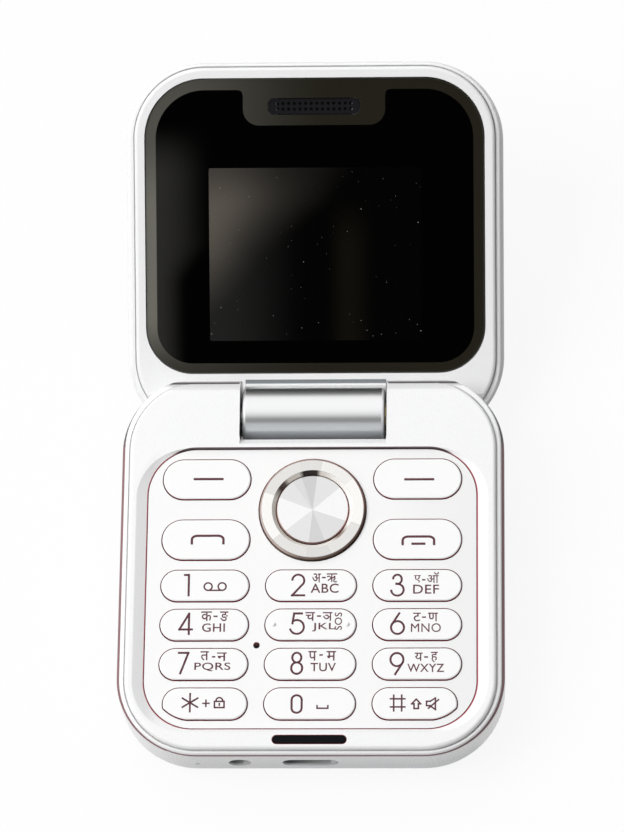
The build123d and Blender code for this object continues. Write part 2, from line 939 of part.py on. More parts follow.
def make_card_socket(width, length, x, y):
    """A card socket under the board: a shallow cage with its slot open at one end."""
    low = board_bottom - socket_height
    body = brick(width, length, low, board_bottom, x, y)
    slot_low = low + cage_skin
    slot_high = board_bottom - socket_height / 2
    return body - brick(
        width - 4 * cage_skin, length, slot_low, slot_high, x, y - 2 * cage_skin
    )


# Hinge

barrel_left = -barrel_length / 2
barrel_right = barrel_length / 2
cartridge_left = barrel_left + cartridge_setback
cartridge_right = cartridge_left + cartridge_length
cartridge_bore = cartridge_radius - cartridge_wall
cam_left = cartridge_left + cartridge_wall
cam_right = cam_left + cam_length
follower_left = cam_right + cam_gap
follower_right = follower_left + follower_length
flex_middle = barrel_right - bushing_bore_depth - flex_width / 2


def make_hinge_barrel():
    """The silver barrel, bored for the cartridge on the left and for the bushing on the right."""
    body = along_x(barrel_radius, barrel_left, barrel_right)
    body = fillet(body.edges().filter_by(GeomType.CIRCLE), barrel_edge_round)
    body -= along_x(cartridge_radius + seat_clearance, barrel_left - cut_overrun, cartridge_right)
    bore_start = barrel_right - bushing_bore_depth
    body -= along_x(bushing_radius + running_clearance, bore_start, barrel_right + cut_overrun)
    return body - flex_passage(flex_slot_gap)


def flex_passage(grown):
    """The way of the flat cable from the bushing's bore down into the lid."""
    height = lid_face + lid_bezel_thickness + grown
    slot = Pos(flex_middle, 0, -height / 2) * Box(
        flex_width + 2 * grown, flex_thickness + 2 * grown, height
    )
    bore_start = barrel_right - bushing_bore_depth
    return slot + along_x(flex_rod_radius + grown, flex_middle, bore_start)


def make_hinge_cartridge():
    """The sleeve that holds the spring and the cam, pushed into the barrel."""
    body = along_x(cartridge_radius, cartridge_left, cartridge_right)
    body -= along_x(cartridge_bore, cartridge_left - cut_overrun, cartridge_right - cartridge_wall)
    return body


def make_hinge_follower():
    """The sliding half of the cam, with one ridge across its face."""
    body = along_x(cartridge_bore - running_clearance, follower_left, follower_right)
    ridge = Pos(follower_right - follower_length / 4, 0, 0) * Box(
        follower_length / 2, 2 * cartridge_bore, cam_gap
    )
    groove = ridge & along_x(cartridge_bore + cut_overrun, follower_left, follower_right)
    return body - groove


def make_hinge_spring():
    """The compression spring behind the follower."""
    coil_radius = cartridge_bore - spring_wire_radius - 2 * running_clearance
    start = follower_right + spring_wire_radius + seat_clearance
    end = cartridge_right - cartridge_wall - spring_wire_radius - seat_clearance
    pitch = (end - start) / spring_turns
    path = Helix(pitch, end - start, coil_radius)
    ring = Plane(origin=path @ 0, z_dir=path % 0) * Circle(spring_wire_radius)
    coil = sweep(ring, path=path)
    return Pos(start, 0, 0) * Rot(0, 90, 0) * coil


def make_hinge_cam_head():
    """The fixed half of the cam, whose flatted stem is held in the left shoulder."""
    head = along_x(cartridge_bore - running_clearance, cam_left, cam_right)
    stem_end = -notch_width / 2 - cam_stem_reach
    return head + along_x(cam_stem_radius, stem_end, cam_left)


def make_hinge_bushing():
    """The hollow pin in the right shoulder, through which the flat cable passes."""
    start = notch_width / 2 - bushing_reach
    body = along_x(bushing_radius, start, start + bushing_length)
    return body - along_x(bushing_bore, start - cut_overrun, start + bushing_length + cut_overrun)


# Lid

lid_posts = [(x, y) for x in (-lid_post_x, lid_post_x) for y in (lid_post_low_y, lid_post_high_y)]
lid_screw_head = -(lens_bottom - lens_bed - fit_clearance)
lid_screw_high = -(lid_bezel_bottom - screw_grip)


def lens_outline(grown):
    """The plan of the screen lens, grown by a clearance."""
    return outline(
        lens_width + 2 * grown,
        lens_low - grown,
        lens_high + grown,
        lens_low_corner + grown,
        lens_high_corner + grown,
    )


def display_outline(grown):
    """The plan of the display module, grown by a gap."""
    corner = display_corner + grown
    return outline(
        display_width + 2 * grown, display_low - grown, display_high + grown, corner, corner
    )


def earpiece_slot(grown):
    """The plan of the slot over the earpiece."""
    width = earpiece_slot_width + 2 * grown
    low = earpiece_slot_y - earpiece_slot_height / 2 - grown
    high = earpiece_slot_y + earpiece_slot_height / 2 + grown
    corner = earpiece_slot_corner + grown
    return outline(width, low, high, corner, corner)


def heel_form(radius):
    """The lid seen from the side, with its outer hinge-end edge rounded."""
    width = case_width + 2 * cut_overrun
    length = case_reach + lid_heel + cut_overrun
    height = lid_thickness + cut_overrun
    middle_y = (case_reach + cut_overrun - lid_heel) / 2
    body = Pos(0, middle_y, lid_bottom + height / 2) * Box(width, length, height)
    edge = body.edges().filter_by(Axis.X).group_by(Axis.Z)[0].sort_by(Axis.Y)[0]
    return fillet(edge, radius)


def scoop():
    """The hollow along the hinge end of the lid that clears the base's round shoulders."""
    return along_x(lid_scoop_radius, -case_width, case_width)


def make_saddle():
    """The bridge from the lid's inner face up to the barrel."""
    low = lid_top - bezel_thickness
    length = saddle_front + lid_heel
    middle_y = (saddle_front - lid_heel) / 2
    high = -saddle_height
    body = Pos(0, middle_y, (low + high) / 2) * Box(saddle_width, length, high - low)
    foot = Pos(0, saddle_front + saddle_fillet / 2, lid_top + saddle_fillet / 2) * Box(
        saddle_width, saddle_fillet, saddle_fillet
    )
    hollow_y = saddle_front + saddle_fillet
    hollow = Pos(0, hollow_y, lid_top + saddle_fillet) * along_x(
        saddle_fillet, -saddle_width, saddle_width
    )
    body += foot - hollow
    rim_end = bezel_side_inset - lid_heel
    body -= brick(
        saddle_width + cut_overrun,
        2 * lid_heel,
        low - cut_overrun,
        lid_ring_top + seat_clearance,
        0,
        rim_end - lid_heel,
    )
    return body - along_x(barrel_radius + seat_clearance, -saddle_width, saddle_width)


def make_lid_bezel():
    """The white inner frame of the lid round the screen lens."""
    plan = lid_outline(bezel_side_inset, bezel_end_inset, bezel_side_inset)
    body = slab(plan, lid_bezel_bottom, lid_top)
    body = fillet(top_edges(body), bezel_edge_round)
    body -= scoop()
    body += make_saddle()
    body -= slab(lens_outline(fit_clearance), lens_bottom - lens_bed, lid_top + cut_overrun)
    body -= slab(display_outline(battery_gap), lid_bezel_bottom - cut_overrun, lid_top)
    body -= brick(
        earpiece_width + 2 * battery_gap,
        earpiece_length + 2 * battery_gap,
        lid_bezel_bottom - cut_overrun,
        lid_top,
        0,
        earpiece_slot_y,
    )
    body -= pattern(lid_screw_hole(), lid_posts)
    return body - flex_passage(flex_slot_gap)


def lid_screw_hole():
    """The hole for one lid screw, whose head lies under the lens."""
    return Rot(180, 0, 0) * screw_hole(lid_screw_head, lid_screw_high)


def make_lid_screws():
    """The four screws that clamp the lid's shells together."""
    return pattern(Rot(180, 0, 0) * screw(lid_screw_head, lid_screw_high), lid_posts)


def make_lid_mid_frame():
    """The thin hoop between the lid's bezel and its rear shell."""
    plan = lid_outline(ring_side_inset, ring_end_inset, ring_end_inset)
    body = slab(plan, lid_seam, lid_ring_top)
    body = fillet(top_edges(body), ring_edge_round)
    pocket = lid_outline(
        bezel_side_inset - seat_clearance,
        bezel_end_inset - seat_clearance,
        bezel_side_inset - seat_clearance,
    )
    body -= slab(pocket, lid_seam - cut_overrun, lid_ring_top + cut_overrun)
    groove = lid_outline(
        bezel_side_inset - groove_width,
        bezel_end_inset - groove_width,
        bezel_side_inset - groove_width,
    )
    body -= slab(groove, lid_ring_top - groove_depth, lid_ring_top + cut_overrun)
    return body - scoop()


def make_lid_rear_shell():
    """The outer shell of the lid, with the screw posts on its floor."""
    body = slab(lid_outline(0, 0, 0), lid_bottom, lid_seam)
    body = fillet(bottom_edges(body), outer_edge_round)
    body = fillet(top_edges(body), seam_round)
    body &= heel_form(lid_heel_round)
    hollow = lid_outline(wall, wall, 2 * wall)
    body -= slab(hollow, lid_floor, lid_seam + cut_overrun)
    pocket = lid_outline(
        bezel_side_inset - seat_clearance,
        bezel_end_inset - seat_clearance,
        bezel_side_inset - seat_clearance,
    )
    body -= slab(pocket, lid_bezel_bottom - seat_clearance, lid_seam + cut_overrun)
    posts = disc(lid_post_radius, lid_floor, lid_bezel_bottom - seat_clearance)
    body += pattern(posts, lid_posts)
    body -= pattern(lid_screw_hole(), lid_posts)
    body -= scoop()
    body -= slab(camera_outline(seat_clearance), lid_bottom - cut_overrun, lid_bottom + camera_bar_sink)
    body -= disc(camera_lens_radius, lid_bottom, lid_floor + cut_overrun, camera_low_x, camera_y)
    return body - disc(flash_radius, lid_bottom, lid_floor + cut_overrun, flash_x, camera_y)


def make_screen_lens():
    """The printed glass over the display, with the slot for the earpiece."""
    body = slab(lens_outline(0.0), lens_bottom, lens_top)
    body = fillet(top_edges(body), lens_edge_round)
    return body - slab(earpiece_slot(0.0), lens_bottom - cut_overrun, lens_top + cut_overrun)


def make_display():
    """The display module behind the lens."""
    return slab(display_outline(0.0), display_bottom, display_top)


def make_earpiece_mesh():
    """The punched plate in the earpiece slot."""
    high = lens_top - mesh_setback
    body = slab(earpiece_slot(-fit_clearance), high - mesh_thickness, high)
    across = int((earpiece_slot_width - 2 * mesh_hole_pitch) / mesh_hole_pitch)
    holes = Sketch()
    for index in range(across):
        x = (index - (across - 1) / 2) * mesh_hole_pitch
        for side in (-1, 1):
            holes += Pos(x, earpiece_slot_y + side * mesh_hole_pitch / 2) * Circle(mesh_hole_radius)
    return body - slab(holes, high - 2 * mesh_thickness, high + mesh_thickness)


def make_earpiece():
    """The earpiece speaker behind the slot."""
    low = lens_bottom - seat_clearance - earpiece_thickness
    body = brick(
        earpiece_width, earpiece_length, low, lens_bottom - seat_clearance, 0, earpiece_slot_y
    )
    return fillet(body.edges().filter_by(Axis.Z), earpiece_corner)


def make_lid_board():
    """The small circuit board behind the display."""
    face = outline(lid_board_width, lid_board_low, lid_board_high, lid_board_corner, lid_board_corner)
    return slab(face, lid_board_bottom, lid_board_top)


def make_flat_cable():
    """The flat cable from the lid's board, round into the hinge and through the bushing."""
    run_top = lid_board_bottom
    run_low = run_top - flex_thickness
    run = brick(
        flex_width,
        lid_board_low + flex_width,
        run_low,
        run_top,
        flex_middle,
        (lid_board_low + flex_width) / 2 - flex_thickness / 2,
    )
    rise = Pos(flex_middle, 0, (run_low - flex_thickness) / 2) * Box(
        flex_width, flex_thickness, -run_low - flex_thickness
    )
    rod = along_x(flex_rod_radius, flex_middle, flex_rod_reach)
    return run + rise + rod


camera_low_x = camera_x - camera_offset
flash_x = camera_x + camera_offset


def camera_outline(grown):
    """The plan of the camera bar."""
    low = camera_y - camera_bar_length / 2 - grown
    high = camera_y + camera_bar_length / 2 + grown
    corner = camera_bar_corner - seat_clearance + grown
    return outline(camera_bar_width + 2 * grown, low, high, corner, corner, camera_x)


def make_camera_bar():
    """The raised trim round the camera and its light."""
    low = lid_bottom - camera_bar_proud
    body = slab(camera_outline(0.0), low, lid_bottom + camera_bar_sink)
    body = fillet(bottom_edges(body), camera_bar_proud / 2)
    lens_room = camera_lens_radius + seat_clearance
    body -= disc(lens_room, low - cut_overrun, lid_bottom + cut_overrun, camera_low_x, camera_y)
    flash_room = flash_radius + seat_clearance
    return body - disc(flash_room, low - cut_overrun, lid_bottom + cut_overrun, flash_x, camera_y)


def make_camera_lens():
    """The glass over the camera, set just inside its bar."""
    low = lid_bottom - camera_bar_proud + fit_clearance
    return disc(camera_lens_radius, low, low + camera_lens_thickness, camera_low_x, camera_y)


def make_camera_module():
    """The camera: a barrel in the lens hole on a square body inside the lid."""
    lens_back = lid_bottom - camera_bar_proud + fit_clearance + camera_lens_thickness
    body = brick(
        camera_body_width,
        camera_body_width,
        lid_floor + seat_clearance,
        lid_floor + seat_clearance + camera_body_height,
        camera_low_x,
        camera_y,
    )
    reach = camera_lens_radius - fit_clearance
    return body + disc(reach, lens_back, lid_floor + camera_body_height, camera_low_x, camera_y)


def make_flash():
    """The light beside the camera."""
    low = lid_bottom - camera_bar_proud + fit_clearance
    return disc(flash_radius - seat_clearance, low, lid_floor + flash_height, flash_x, camera_y)


# Resting place: the base stands on its front edge and the lid on its hinge end

lid_rise = 180 - open_angle
front_round_y = outer_edge_round - case_reach
front_round_z = base_bottom + outer_edge_round
heel_flat_y = lid_heel_round - lid_heel
heel_flat_z = lid_bottom + lid_heel_round
rise_cos = cos(radians(lid_rise))
rise_sin = sin(radians(lid_rise))
heel_round_y = heel_flat_y * rise_cos - heel_flat_z * rise_sin
heel_round_z = heel_flat_y * rise_sin + heel_flat_z * rise_cos
span_y = heel_round_y - front_round_y
span_z = heel_round_z - front_round_z
span = hypot(span_y, span_z)
radius_change = lid_heel_round - outer_edge_round
rest_tilt = degrees(asin(radius_change / span) - atan2(span_z, span_y))
tilt_cos = cos(radians(rest_tilt))
tilt_sin = sin(radians(rest_tilt))
hinge_height = outer_edge_round - (front_round_y * tilt_sin + front_round_z * tilt_cos)


def on_table(shape):
    """Tilt a shape of the base as the open phone stands, over the table at Z = 0."""
    return Pos(0, 0, hinge_height) * Rot(rest_tilt, 0, 0) * shape


base_nodes = {
    "base_front_bezel": make_front_bezel(),
    "keypad_plate": make_key_plate(),
    "base_mid_frame": make_mid_frame(),
    "base_rear_housing": make_rear_housing(),
    "battery_cover": make_battery_cover(),
    "keypad_mat": make_keypad_mat(),
    "dome_sheet": make_dome_sheet(),
    "main_board": make_main_board(),
    "microphone": make_microphone(),
    "usb_socket": make_usb_socket(),
    "audio_jack": make_audio_jack(),
    "loudspeaker": make_loudspeaker(),
    "vibration_motor": make_vibration_motor(),
    "battery": make_battery(),
    "battery_contacts": make_battery_contacts(),
    "sim_socket_1": make_card_socket(sim_width, sim_length, sim_x, sim_rear_y),
    "sim_socket_2": make_card_socket(sim_width, sim_length, sim_x, sim_front_y),
    "memory_card_socket": make_card_socket(card_width, card_length, card_x, card_y),
    "lid_bumper": make_lid_bumper(),
    "base_screws": pattern(screw(base_screw_low, base_screw_high), base_posts),
    "hinge_cam_head": make_hinge_cam_head(),
    "hinge_bushing": make_hinge_bushing(),
    "nav_ring": make_nav_ring(),
    "nav_ring_pad": make_nav_pad(),
    "select_button": make_select_button(),
}
for name in key_specs:
    base_nodes[name] = make_named_key(name)

lid_nodes = {
    "lid_inner_bezel": make_lid_bezel(),
    "lid_mid_frame": make_lid_mid_frame(),
    "lid_rear_shell": make_lid_rear_shell(),
    "screen_lens": make_screen_lens(),
    "display_module": make_display(),
    "earpiece_mesh": make_earpiece_mesh(),
    "earpiece": make_earpiece(),
    "lid_board": make_lid_board(),
    "flat_cable": make_flat_cable(),
    "lid_screws": make_lid_screws(),
    "hinge_barrel": make_hinge_barrel(),
    "hinge_cartridge": make_hinge_cartridge(),
    "hinge_follower": make_hinge_follower(),
    "hinge_spring": make_hinge_spring(),
    "camera_bar": make_camera_bar(),
    "camera_module": make_camera_module(),
    "camera_lens": make_camera_lens(),
    "camera_flash": make_flash(),
}

placed = {name: on_table(shape) for name, shape in base_nodes.items()}
for name, shape in lid_nodes.items():
    placed[name] = on_table(Rot(lid_rise, 0, 0) * shape)

lows = [shape.bounding_box().min.Y for shape in placed.values()]
highs = [shape.bounding_box().max.Y for shape in placed.values()]
centre_shift = -(min(lows) + max(highs)) / 2

for name, shape in placed.items():
    export_step(Pos(0, centre_shift, 0) * shape, f"parts/{name}.step")
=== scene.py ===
import json
from math import cos, pi, radians, sin

import bpy
from mathutils import Matrix, Vector


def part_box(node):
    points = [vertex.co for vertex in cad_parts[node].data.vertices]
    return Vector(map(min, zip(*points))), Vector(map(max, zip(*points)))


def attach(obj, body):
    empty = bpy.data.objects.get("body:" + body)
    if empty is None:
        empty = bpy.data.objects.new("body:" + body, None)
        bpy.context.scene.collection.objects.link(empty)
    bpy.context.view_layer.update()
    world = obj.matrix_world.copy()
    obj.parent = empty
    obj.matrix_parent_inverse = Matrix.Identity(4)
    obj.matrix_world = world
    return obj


# The looks of a folding key-pad phone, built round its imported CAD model. The scene is in
# metres. Sizes on the phone are written in millimetres, in one of two frames: "base" has its
# origin in the middle of the hinge line, X to the right, Y to the rear and Z out of the keys,
# and "lid" is the same frame turned about X, with Z out of the screen lens.

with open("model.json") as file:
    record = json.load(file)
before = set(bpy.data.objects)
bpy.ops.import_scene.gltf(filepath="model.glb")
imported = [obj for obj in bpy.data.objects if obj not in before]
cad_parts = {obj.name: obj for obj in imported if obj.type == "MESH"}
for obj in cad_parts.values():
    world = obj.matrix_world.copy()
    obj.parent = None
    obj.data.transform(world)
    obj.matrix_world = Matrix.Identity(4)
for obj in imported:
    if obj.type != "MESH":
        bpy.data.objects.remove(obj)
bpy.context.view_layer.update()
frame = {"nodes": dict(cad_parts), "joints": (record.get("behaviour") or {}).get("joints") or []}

MM = 0.001
NODES = frame["nodes"]
JOINTS = {joint["name"]: joint for joint in frame["joints"]}


# Frames of the two halves

hinge = Vector(JOINTS["lid_hinge"]["pos_m"])
key_normal = -Vector(JOINTS["key_5_press"]["axis"])
to_rear = key_normal.cross(Vector((1, 0, 0)))
rest_tilt = to_rear.angle(Vector((0, 1, 0)))
lid_rise = pi - radians(JOINTS["lid_hinge"]["range_deg"][1])
tilts = {"base": rest_tilt, "lid": rest_tilt + lid_rise}


def placing(half):
    """The matrix from a half's millimetre frame to the scene."""
    turn = Matrix.Rotation(tilts[half], 4, "X")
    return Matrix.Translation(hinge) @ turn @ Matrix.Scale(MM, 4)


# Node trees

# The middle range of a noise, which is spread over a surface's low and high values, and how
# deep a bump is in millimetres
NOISE_MIDDLE = (0.3, 0.7)
BUMP_DEPTH = 0.02


class Tree:
    """Short calls that build one node tree. A soft edge is the start and end of a step, and it
    may run either way."""

    def __init__(self, name):
        self.material = bpy.data.materials.new(name)
        self.material.use_nodes = True
        self.tree = self.material.node_tree
        self.tree.nodes.clear()
        self.output = self.add("ShaderNodeOutputMaterial")

    @classmethod
    def of(cls, node_tree):
        """For a tree that isn't a material's, emptied first."""
        tree = cls.__new__(cls)
        tree.tree = node_tree
        node_tree.nodes.clear()
        return tree

    def add(self, kind, **settings):
        """A node with its settings and inputs; an input is a value or another node's output."""
        node = self.tree.nodes.new(kind)
        for name, value in settings.items():
            if hasattr(node, name):
                setattr(node, name, value)
            else:
                self.feed(node.inputs[name.replace("_", " ")], value)
        return node

    def feed(self, socket, value):
        if isinstance(value, bpy.types.NodeSocket):
            self.tree.links.new(value, socket)
        else:
            socket.default_value = value

    def math(self, operation, *values):
        node = self.add("ShaderNodeMath", operation=operation)
        for socket, value in zip(node.inputs, values):
            self.feed(socket, value)
        return node.outputs[0]

    def times(self, first, *others):
        """The product of several values."""
        for value in others:
            first = self.math("MULTIPLY", first, value)
        return first

    def place(self, half):
        """The X, Y and Z of the surface in a half's millimetre frame."""
        coordinates = self.add("ShaderNodeTexCoord").outputs["Object"]
        mapping = self.add("ShaderNodeMapping", vector_type="TEXTURE")
        self.feed(mapping.inputs["Vector"], coordinates)
        mapping.inputs["Location"].default_value = hinge
        mapping.inputs["Rotation"].default_value = (tilts[half], 0, 0)
        mapping.inputs["Scale"].default_value = (MM, MM, MM)
        self.point = mapping.outputs[0]
        split = self.add("ShaderNodeSeparateXYZ")
        self.feed(split.inputs[0], self.point)
        return split.outputs

    def noise(self, scale, detail=2.0, stretch=(1, 1, 1)):
        """Noise over the millimetre frame; scale is in lumps per millimetre."""
        mapping = self.add("ShaderNodeMapping")
        self.feed(mapping.inputs["Vector"], self.point)
        mapping.inputs["Scale"].default_value = stretch
        node = self.add("ShaderNodeTexNoise", Scale=scale, Detail=detail)
        self.feed(node.inputs["Vector"], mapping.outputs[0])
        return node.outputs["Fac"]

    def ramp(self, value, low, high, start=0.0, end=1.0):
        """A smooth step of the value from low to high, giving start to end."""
        node = self.add("ShaderNodeMapRange", interpolation_type="SMOOTHSTEP", clamp=True)
        for name, number in zip(("Value", "From Min", "From Max", "To Min", "To Max"),
                                (value, low, high, start, end)):
            self.feed(node.inputs[name], number)
        return node.outputs[0]

    def rise(self, value, edge):
        """Nothing before a soft edge, and all past it."""
        return self.ramp(value, *edge)

    def fall(self, value, edge):
        """All before a soft edge, and nothing past it."""
        return self.ramp(value, *edge, 1.0, 0.0)

    def spread(self, noise, low, high):
        """A number that a noise moves between low and high."""
        return self.ramp(noise, *NOISE_MIDDLE, low, high)

    def mix(self, factor, first, second):
        """Between two colours, each a value or an output."""
        node = self.add("ShaderNodeMix", data_type="RGBA")
        for index, value in ((0, factor), (6, first), (7, second)):
            if isinstance(value, tuple) and len(value) == 3:
                value = (*value, 1.0)
            self.feed(node.inputs[index], value)
        return node.outputs[2]

    def shade(self, colour, roughness, height=None, strength=0.0, plated=None, **constants):
        """The surface shader: colour, roughness, a bump, where it is metal, and constants."""
        shader = self.add("ShaderNodeBsdfPrincipled")
        if plated is not None:
            self.feed(shader.inputs["Metallic"], plated)
        self.feed(shader.inputs["Base Color"], colour)
        self.feed(shader.inputs["Roughness"], roughness)
        for name, value in constants.items():
            shader.inputs[name.replace("_", " ")].default_value = value
        if height is not None:
            bump = self.add("ShaderNodeBump", Strength=strength, Distance=BUMP_DEPTH * MM)
            self.feed(bump.inputs["Height"], height)
            self.feed(shader.inputs["Normal"], bump.outputs[0])
        self.feed(self.output.inputs["Surface"], shader.outputs[0])
        return self.material


def grey(level):
    return (level, level, level)


def tinted(colour, factor):
    return tuple(part * factor for part in colour)


def rounded(tree, x, y, middle, half_size, corner):
    """The distance outside a rounded rectangle, negative inside it."""
    over = []
    for value, centre, half in zip((x, y), middle, half_size):
        away = tree.math("ABSOLUTE", tree.math("SUBTRACT", value, centre))
        over.append(tree.math("ADD", tree.math("SUBTRACT", away, half), corner))
    outside = [tree.math("MAXIMUM", value, 0.0) for value in over]
    squares = [tree.math("POWER", value, 2.0) for value in outside]
    length = tree.math("SQRT", tree.math("ADD", *squares))
    inside = tree.math("MINIMUM", tree.math("MAXIMUM", *over), 0.0)
    return tree.math("SUBTRACT", tree.math("ADD", length, inside), corner)


def sectors(tree, x, y, centre, tones, blend="CONSTANT"):
    """Colours round a centre; tones is (start angle in degrees, colour)."""
    across = tree.math("SUBTRACT", x, centre[0])
    along = tree.math("SUBTRACT", y, centre[1])
    angle = tree.math("ARCTAN2", along, across)
    turn = tree.math("FRACT", tree.math("ADD", tree.math("DIVIDE", angle, 2 * pi), 1.0))
    node = tree.add("ShaderNodeValToRGB")
    tree.feed(node.inputs[0], turn)
    ramp = node.color_ramp
    ramp.interpolation = blend
    ramp.elements.remove(ramp.elements[-1])
    for start, colour in tones:
        stop = ramp.elements.new(start / 360) if start else ramp.elements[0]
        stop.color = (*colour, 1.0)
    return node.outputs[0]


def dress(material, *names):
    """Gives CAD nodes their material."""
    for name in names:
        slots = NODES[name].material_slots
        if not slots:
            NODES[name].data.materials.append(material)
        for slot in slots:
            slot.material = material


# Plastics and metals

BROAD_NOISE = 0.08
BROAD_DETAIL = 3.0
FINE_NOISE = 6.0
TONE_SPREAD = 0.006
PLASTIC_ROUGH_SPREAD = 0.04
GRAIN = 0.25
COAT_ROUGHNESS = 0.08

METAL_BROAD_NOISE = 0.15
METAL_LINE_NOISE = 3.0
METAL_LINE_DETAIL = 3.0
METAL_DARK = 0.94
METAL_LIGHT = 1.03
METAL_ROUGH_SPREAD = 0.12
METAL_BUMP = 0.15

# How much finer a metal's noise is along X, Y and Z, which draws level or cross lines
LEVEL_LINES = (1, 1, 6)
CROSS_LINES = (6, 1, 1)


def clouded(tree, colour):
    """A colour with faint broad clouds in it."""
    broad = tree.noise(BROAD_NOISE, detail=BROAD_DETAIL)
    return tree.mix(broad, tinted(colour, 1 - TONE_SPREAD), tinted(colour, 1 + TONE_SPREAD))


def moulded(name, half, colour, rough, coat=0.0, gloss=0.5, gap=None, gap_colour=None):
    """Moulded plastic. Where gap gives a soft edge in height, what lies under it is gap_colour, a
    painted shade.
    """
    tree = Tree(name)
    z = tree.place(half)["Z"]
    tone = clouded(tree, colour)
    fine = tree.noise(FINE_NOISE)
    if gap is not None:
        tone = tree.mix(tree.rise(z, gap), gap_colour, tone)
    low = rough * (1 - PLASTIC_ROUGH_SPREAD)
    high = rough * (1 + PLASTIC_ROUGH_SPREAD)
    return tree.shade(tone, tree.spread(fine, low, high), fine, GRAIN, Coat_Weight=coat,
                      Coat_Roughness=COAT_ROUGHNESS, Specular_IOR_Level=gloss)


def metal(name, half, colour, rough, lines):
    """Metal with fine lines; lines is the stretch of the noise along X, Y and Z."""
    tree = Tree(name)
    tree.place(half)
    broad = tree.noise(METAL_BROAD_NOISE)
    fine = tree.noise(METAL_LINE_NOISE, detail=METAL_LINE_DETAIL, stretch=lines)
    tone = tree.mix(fine, tinted(colour, METAL_DARK), tinted(colour, METAL_LIGHT))
    low = rough * (1 - METAL_ROUGH_SPREAD)
    high = rough * (1 + METAL_ROUGH_SPREAD)
    return tree.shade(tone, tree.spread(broad, low, high), fine, METAL_BUMP, Metallic=1.0)


# Casing: white pearl paint, with painted shade and a few painted highlights drawn on it. Soft edges
# are in millimetres.

WHITE = (0.87, 0.87, 0.872)
PAINT_ROUGH = (0.27, 0.29)
PAINT_COAT = 0.4
# Plum and red, painted as shade in the gaps between parts
PLUM_SHADE = (0.40, 0.012, 0.04)
RED_SHADE = (0.55, 0.11, 0.09)

# The key plate's outline, and the wall and the dished slope round it: painted shade, dark plum on the
# wall and grey on the slope's left side
PLATE_MIDDLE = (0.0, -31.225)
PLATE_HALF = (27.05, 23.925)
PLATE_CORNER = 8.0
BEZEL_BOTTOM = (4.0, 4.1)
WALL_FACE = (0.24, 0.32)
WALL_TOP = (4.97, 5.03)
SLOPE_START = (0.1, 0.4)
SLOPE_END = (1.7, 2.3)
SLOPE_LEFT = (-24.0, -27.0)
SLOPE_TOP = (5.41, 5.38)
SLOPE_SHADE = 0.84
# Painted shadow, near black, on the wall at the rear of the plate
REAR_WALL_FACE = (0.3, 0.36)
REAR_WALL_START = (-8.4, -7.6)
REAR_WALL_SHADOW = (0.06, 0.03, 0.035)

# The recess of the rubber bumper, whose wall is painted plum as shade
BUMPER_MIDDLE = (0.0, -57.15)
BUMPER_HALF = (6.0, 0.7)
BUMPER_FACE = (0.07, 0.13)
BUMPER_BOTTOM = (4.4, 4.5)

# Painted shade: the front wall is painted a little darker towards its bottom and its right, and
# both right sides a little darker
FRONT_WALL_START = (-55.0, -57.0)
FRONT_WALL_DOWN = (3.3, -3.0)
FRONT_WALL_RIGHT = (-25.0, 5.0)
FRONT_WALL_LEFT_SHARE = 0.3
FRONT_WALL_SHADE = (0.68, 0.69, 0.71)
BASE_SIDE_START = (30.0, 31.0)
BASE_SIDE_SHADE = 0.91
LID_SIDE_START = (30.4, 31.0)
LID_SIDE_SHADE = 0.9

# The sockets in the front wall: middle and half size in X and Z, and where the painted glint starts
SOCKETS = [((-11.5, -0.2), (1.8, 1.8), -10.9), ((0.0, -0.15), (4.5, 1.6), 3.4)]
SOCKET_INSIDE = (-59.3, -59.0)
SOCKET_FACE = (0.1, 0.2)
SOCKET_DARK = (0.16, 0.16, 0.165)
SOCKET_PALE = (0.6, 0.6, 0.605)
GLINT_BEFORE = 0.3
GLINT_AFTER = 0.1
GLINT_COLOUR = grey(1.0)

# The notch that the barrel turns in: its side walls and its front wall, painted dark as shade
NOTCH_SIDE = (12.19, 12.22)
NOTCH_SIDE_START = (-5.2, -5.1)
NOTCH_SIDE_SHADE = (0.015, 0.015, 0.016)
NOTCH_FRONT = (12.3, 12.5)
NOTCH_FRONT_START = (-6.6, -6.4)
NOTCH_TOP = (0.0, 4.3)
NOTCH_BOTTOM = (-5.4, -4.6)
NOTCH_FRONT_SHADE = (0.03, 0.03, 0.035)

# The seam along the hoop, painted as a shaded gap: plum in front and dark beside the lid
SEAM_HEIGHT = 3.7
SEAM_EDGE = (0.14, 0.26)
SEAM_REAR = (-7.0, -5.0)
SEAM_SHADE = (0.24, 0.12, 0.13)
SEAM_REAR_SHADE = (0.09, 0.08, 0.085)

# The hollow behind the barrel, in the lid's bridge, painted grey as shade
HOLLOW_FRONT = (5.45, 5.6)
HOLLOW_REAR = (6.1, 6.3)
HOLLOW_SIDE = (11.8, 11.9)
HOLLOW_BOTTOM = (-6.0, -5.9)
HOLLOW_SHADE = (0.17, 0.19, 0.2)


def painted(name, half, marks):
    """Pearl paint; marks(tree, x, y, z, tone) gives the tone with its painted shade and highlights."""
    tree = Tree(name)
    x, y, z = tree.place(half)
    tone = marks(tree, x, y, z, clouded(tree, WHITE))
    fine = tree.noise(FINE_NOISE)
    return tree.shade(tone, tree.spread(fine, *PAINT_ROUGH), fine, GRAIN, Coat_Weight=PAINT_COAT,
                      Coat_Roughness=COAT_ROUGHNESS)


def from_plate(tree, x, y):
    """The distance outside the key plate's outline."""
    return rounded(tree, x, y, PLATE_MIDDLE, PLATE_HALF, PLATE_CORNER)


def slope_marks(tree, x, y, z, tone):
    """Painted shade: dark plum on the wall that the plate sits in, grey on the slope's left side above
    it.
    """
    apart = from_plate(tree, x, y)
    wall = tree.times(tree.fall(apart, WALL_FACE), tree.rise(z, BEZEL_BOTTOM), tree.fall(z, WALL_TOP))
    tone = tree.mix(wall, tone, PLUM_SHADE)
    slope = tree.times(tree.rise(apart, SLOPE_START), tree.fall(apart, SLOPE_END),
                       tree.rise(x, SLOPE_LEFT), tree.rise(z, SLOPE_TOP))
    return tree.mix(slope, tone, tinted(WHITE, SLOPE_SHADE))


